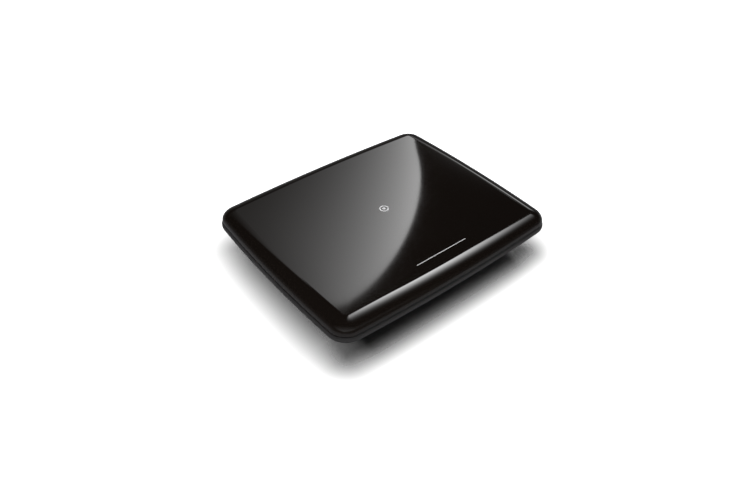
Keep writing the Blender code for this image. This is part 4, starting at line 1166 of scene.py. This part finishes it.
# %% Side controls
CONTROL_HEIGHT = 15.6
CONTACTS = {"headphone": (1, 1.8, 2.45), "video": (-8, 1.8, 2.45), "power": (-31, 2.4, 2.75)}
for name, (y, bore, rim) in CONTACTS.items():
    profile = [(bore, -1.2), (bore, 0.1), (bore + 0.1, 0.2), (rim - 0.1, 0.2), (rim, 0.1), (rim, -1.2)]
    contact = moved(turned(profile, 40, ring=True), at(83.9, y, CONTROL_HEIGHT) @ on_side)
    finished(name + "_contact", contact, "base", "steel")
wheel = moved(knurled_rim(finishes["matte_trim"]), at(78.2, 14, CONTROL_HEIGHT))
finished("knurled_wheel", wheel, "wheel", "matte_trim", replaced=["volume_wheel"])
RIB_STARTS = (24.6, 25.6, 26.6, 27.6, 28.6)
ribs = [[(84.9, y), (85.45, y + 0.1), (85.45, y + 0.4), (84.9, y + 0.5)] for y in RIB_STARTS]
finished("slider_ribs", prisms(ribs, 14.7, 16.5), "slider", "matte_trim")
softened("power_slider", 0.2)
print("side controls made")

# %% [markdown]
# ## Feet and screws
#
# Underneath are four rubber feet with rounded edges and a shallow dish, and four cross-head screws in deep
# recesses. Both are turned from a profile, and the cross is cut out with two blocks.

# %% Feet and screws
FOOT = [
    (0, 1.2), (5, 1.2), (5, 0.55), (4.85, 0.25), (4.5, 0.05), (4.1, 0.0), (3.4, 0.0), (3.2, 0.15), (0, 0.15),
]
SHANK_TOP, SHANK_STEP, SHANK_COUNT = 17.6, 0.45, 24
shank = [(1.05 if step % 2 else 0.8, SHANK_TOP - SHANK_STEP * step) for step in range(SHANK_COUNT)]
SCREW_TIP = [(0, 19.6), (0.3, 19.4), (0.8, 18.4)]
SCREW_HEAD = [(1.1, 6.8), (1.1, 3.6), (2.3, 3.6), (2.3, 2.5), (2.1, 2.15), (1.5, 1.95), (0, 1.9)]
CROSS_ARM, CROSS_HALF_WIDTH = 1.5 * MM, 0.24 * MM
for index, place in enumerate(FOOT_PLACES, 1):
    foot = moved(turned(FOOT, 56), at(*place))
    finished(f"moulded_foot_{index}", foot, "base", "rubber", replaced=[f"rubber_foot_{index}"])
for index, (x, y) in enumerate(SCREW_PLACES, 1):
    cross = []
    for a, b in ((CROSS_ARM, CROSS_HALF_WIDTH), (CROSS_HALF_WIDTH, CROSS_ARM)):
        arm = block((x * MM - a, y * MM - b, 1 * MM), (x * MM + a, y * MM + b, 2.9 * MM))
        cross.append(("DIFFERENCE", arm))
    screw = moved(turned(SCREW_TIP + shank + SCREW_HEAD, 32), at(x, y))
    name = f"cross_head_screw_{index}"
    finished(name, screw, "base", "steel", replaced=[f"case_screw_{index}"], shaping=cross)
print("feet and screws made")

# %% [markdown]
# ## Softer edges for the rest
#
# Boards, motors, pins and dampers are simple shapes on the real player too, but none has a razor edge. Each
# keeps its form from the frame and gets a bevel of its own width in millimetres: wide on rubber, narrow on
# sheet metal and boards.

# %% Softer edges for the rest
SOFT_EDGES = {
    "side_panel": 0.25, "headphone_socket": 0.15, "video_socket": 0.15, "power_socket": 0.15,
    "data_socket": 0.12,
    "left_bumper": 0.4, "right_bumper": 0.4, "left_speaker": 0.3, "right_speaker": 0.3, "lcd_panel": 0.2,
    "disc_well": 0.15, "drive_chassis": 0.12, "spindle_motor": 0.2, "laser_pickup": 0.2, "sled_motor": 0.2,
    "main_board": 0.08, "socket_board": 0.08, "key_board": 0.08, "display_board": 0.08, "key_mat": 0.1,
    "battery_pack": 0.3, "left_hinge_pin": 0.15, "right_hinge_pin": 0.15, "door_hinge_pin": 0.12,
    "front_guide_rod": 0.15, "rear_guide_rod": 0.15, "rubber_damper_1": 0.15, "rubber_damper_2": 0.15,
    "rubber_damper_3": 0.15,
}
for node, width in SOFT_EDGES.items():
    softened(node, width)
print("softened", len(SOFT_EDGES), "parts")

# %% [markdown]
# ## Camera
#
# The camera looks down over the front left corner, from about half a metre away. Its place and its lens
# together give the outline's perspective, so both are set, and nothing tracks the player.

# %% Camera
AZIMUTH = math.radians(-38.52)
ELEVATION = math.radians(40.28)
back = Vector((
    math.sin(AZIMUTH) * math.cos(ELEVATION),
    -math.cos(AZIMUTH) * math.cos(ELEVATION),
    math.sin(ELEVATION),
))
camera_data = bpy.data.cameras.new("camera")
camera_data.lens = 31.26
camera_data.sensor_width = 36.0
camera_data.clip_start = 0.01
camera = bpy.data.objects.new("camera", camera_data)
camera.location = Vector((-232.3, -284.3, 318.8)) * MM
camera.rotation_euler = (-back).to_track_quat("-Z", "Y").to_euler()
bpy.context.scene.collection.objects.link(camera)
bpy.context.scene.camera = camera
print("camera at", [round(value, 3) for value in camera.location])

# %% [markdown]
# ## Table and backdrop
#
# The table is white acrylic, which mirrors the player just below it. The mirror image is clearest along the
# front and fades out within a few centimetres, so the table mixes a white surface with a glossy one by the
# distance from the player. The backdrop is white to the eye, but only a faint glow low down in a reflection.

# %% Table
WALL_GLOW = 0.15
WALL_TOP = 0.5
SIDE_FADE, SIDE_SHARE = 45 * MM, 0.8
FRONT_FADE = 37 * MM
BLEND_INSET = 30 * MM
world = bpy.data.worlds.new("studio")
bpy.context.scene.world = world
world.use_nodes = True
backdrop = Graph(world.node_tree)
background = backdrop.tree.nodes["Background"]
backdrop.connect((1.0, 1.0, 1.0, 1.0), background.inputs["Color"])
seen = backdrop.add("ShaderNodeLightPath", output="Is Camera Ray")
mirrored = backdrop.add("ShaderNodeLightPath", output="Is Glossy Ray")
rise = backdrop.split(backdrop.add("ShaderNodeTexCoord", output="Generated"))[2]
low_glow = (1.0 - rise / WALL_TOP).clamped() * WALL_GLOW
backdrop.connect(seen + mirrored * low_glow, background.inputs["Strength"])
bpy.context.scene.view_settings.view_transform = "Standard"


def flat_card(name, low, high, height):
    """A rectangle at one height, with its place in its mesh."""
    bm = bmesh.new()
    corners = ((low[0], low[1]), (high[0], low[1]), (high[0], high[1]), (low[0], high[1]))
    bm.faces.new([bm.verts.new((x, y, height)) for x, y in corners])
    mesh = bpy.data.meshes.new(name)
    bm.to_mesh(mesh)
    bm.free()
    card = bpy.data.objects.new(name, mesh)
    bpy.context.scene.collection.objects.link(card)
    return card


def table_finish():
    """White acrylic. Its mirror image of the player is clearest along the front and fades out within 5 cm."""
    finish = Finish("white_acrylic", (1.0, 1.0, 1.0), 0.9)
    x, y, _ = finish.axes()
    half_size = (WIDTH / 2 - CORNER_RADIUS, DEPTH / 2 - CORNER_RADIUS)
    outside = [(axis.size() - half).at_least(0.0) for axis, half in zip((x, y), half_size)]
    distance = (outside[0] * outside[0] + outside[1] * outside[1]) ** 0.5
    at_side = (1.0 - distance / SIDE_FADE).clamped() * SIDE_SHARE
    at_front = 1.0 - smooth((distance / FRONT_FADE).clamped())
    past_front = (-y - (DEPTH / 2 - BLEND_INSET)).at_least(0.0)
    past_side = (x.size() - (WIDTH / 2 - BLEND_INSET)).at_least(0.0)
    facing_front = past_front / (past_front + past_side + 0.1 * MM)
    share = at_side * (1.0 - facing_front) + at_front * facing_front
    tint = (0.98, 0.97, 0.965, 1.0)
    mirror = finish.add("ShaderNodeBsdfGlossy", sockets={"Color": tint, "Roughness": 0.25})
    in_gloss = finish.add("ShaderNodeLightPath", output="Is Glossy Ray")
    shade = finish.mix(in_gloss, (0.95, 0.95, 0.95), (0.14, 0.14, 0.145))
    white = finish.add("ShaderNodeBsdfDiffuse", sockets={"Color": shade})
    both = finish.add("ShaderNodeMixShader", sockets={0: share, 1: white, 2: mirror})
    output = finish.tree.nodes["Material Output"]
    finish.tree.links.new(both.socket, output.inputs["Surface"])
    return finish.material


table = flat_card("table", (-4.0, -4.0), (4.0, 4.0), 0.0)
table.data.materials.append(table_finish())
table_only = bpy.data.collections.new("table_only")
table_only.objects.link(table)
not_table = bpy.data.collections.new("not_table")
not_table.objects.link(table)
not_table.collection_objects[0].light_linking.link_state = "EXCLUDE"
print("table ready")

# %% [markdown]
# ## Lights and cards
#
# A gloss black top shows nothing but what it mirrors, so its look is drawn with cards, as in a studio. Here
# one large card hangs a metre above, and its brightness is a sum of soft shapes. The largest has a curved
# edge, and its reflection lays a grey sweep over the left half of the lid. Two lamps light the player and a
# soft sky lights the table, and none of the three shows in a reflection.

# %% Lights and cards
AWAY = Vector((-back.x, -back.y, 0)).normalized()
LEFT = Vector((-AWAY.y, AWAY.x, 0))
CARD_HEIGHT = 1.0


def lamp(name, location, size, power):
    """A square area light on the player alone, turned to it. It doesn't show in reflections."""
    data = bpy.data.lights.new(name, "AREA")
    data.shape = "SQUARE"
    data.size = size
    data.energy = power
    light = bpy.data.objects.new(name, data)
    light.location = location
    light.rotation_euler = (-Vector(location)).to_track_quat("-Z", "Y").to_euler()
    light.visible_glossy = False
    light.light_linking.receiver_collection = not_table
    bpy.context.scene.collection.objects.link(light)


def glow(name, brightness):
    """An emitting finish whose brightness is a formula in the distances away and left of the camera."""
    finish = Finish(name, (0.0, 0.0, 0.0), 1.0)
    place = finish.place()
    away = finish.add("ShaderNodeVectorMath", {"operation": "DOT_PRODUCT"}, {0: place, 1: AWAY}, "Value")
    left = finish.add("ShaderNodeVectorMath", {"operation": "DOT_PRODUCT"}, {0: place, 1: LEFT}, "Value")
    light = finish.add("ShaderNodeEmission", sockets={"Color": brightness(away, left)})
    finish.tree.links.new(light.socket, finish.tree.nodes["Material Output"].inputs["Surface"])
    return finish.material


def sweep_brightness(away, left):
    """Bright along a curved edge, and fading to the left and away."""
    centre, half, power = (1.60, 0.134), (0.805, 0.292), 2.15
    x = ((away - centre[0]) / half[0]).size()
    y = ((centre[1] - left) / half[1]).at_least(0.0)
    inside = ((1.0 - x**power - y**power) * 60.0).clamped()
    fading = ((left + 0.08) * -5.46 + (away - 1.117) * -1.05).exponent()
    return inside * fading * 4.9


def overhead_brightness(away, left):
    """A soft overhead light, cut off sharply on its far side."""
    x = (away - 0.65) / 0.26
    y = (left + 0.22) / 0.35
    inside = ((0.78 - away) * 40.0).clamped() * ((-0.02 - left) * 12.0).clamped()
    return inside * (-(x * x + y * y)).exponent() * 13.0


def far_brightness(away, left):
    """A dim card far off on the right, which only the far edge of the lid mirrors, as a thin line."""
    x = (away - 2.2) / 0.35
    y = (left + 0.85) / 0.45
    return (-(x * x + y * y)).exponent() * 3.0


def behind_brightness(away):
    """A very dim wash behind the camera, which gives the lid a gradient when seen from the back."""
    return ((-0.35 - away) / 0.9).clamped() * 0.5


def ceiling_brightness(away, left):
    cards = sweep_brightness(away, left) + overhead_brightness(away, left)
    return cards + far_brightness(away, left) + behind_brightness(away)


ceiling = flat_card("ceiling_card", (-1.5, -1.5), (2.6, 2.6), CARD_HEIGHT)
ceiling.data.materials.append(glow("ceiling_card", ceiling_brightness))
ceiling.visible_diffuse = False
ceiling.visible_shadow = False
ceiling.visible_camera = False
ceiling.light_linking.receiver_collection = not_table

sky = bpy.data.lights.new("sky", "SUN")
sky.energy = 7.2
sky.angle = math.radians(150)
sky_light = bpy.data.objects.new("sky", sky)
sky_light.light_linking.receiver_collection = table_only
sky_light.visible_glossy = False
bpy.context.scene.collection.objects.link(sky_light)
lamp("overhead", (0.0, 0.0, 2.2), 3.2, 90.0)
lamp("front_left", (-1.6, -2.0, 1.0), 2.4, 50.0)
print("studio lit")
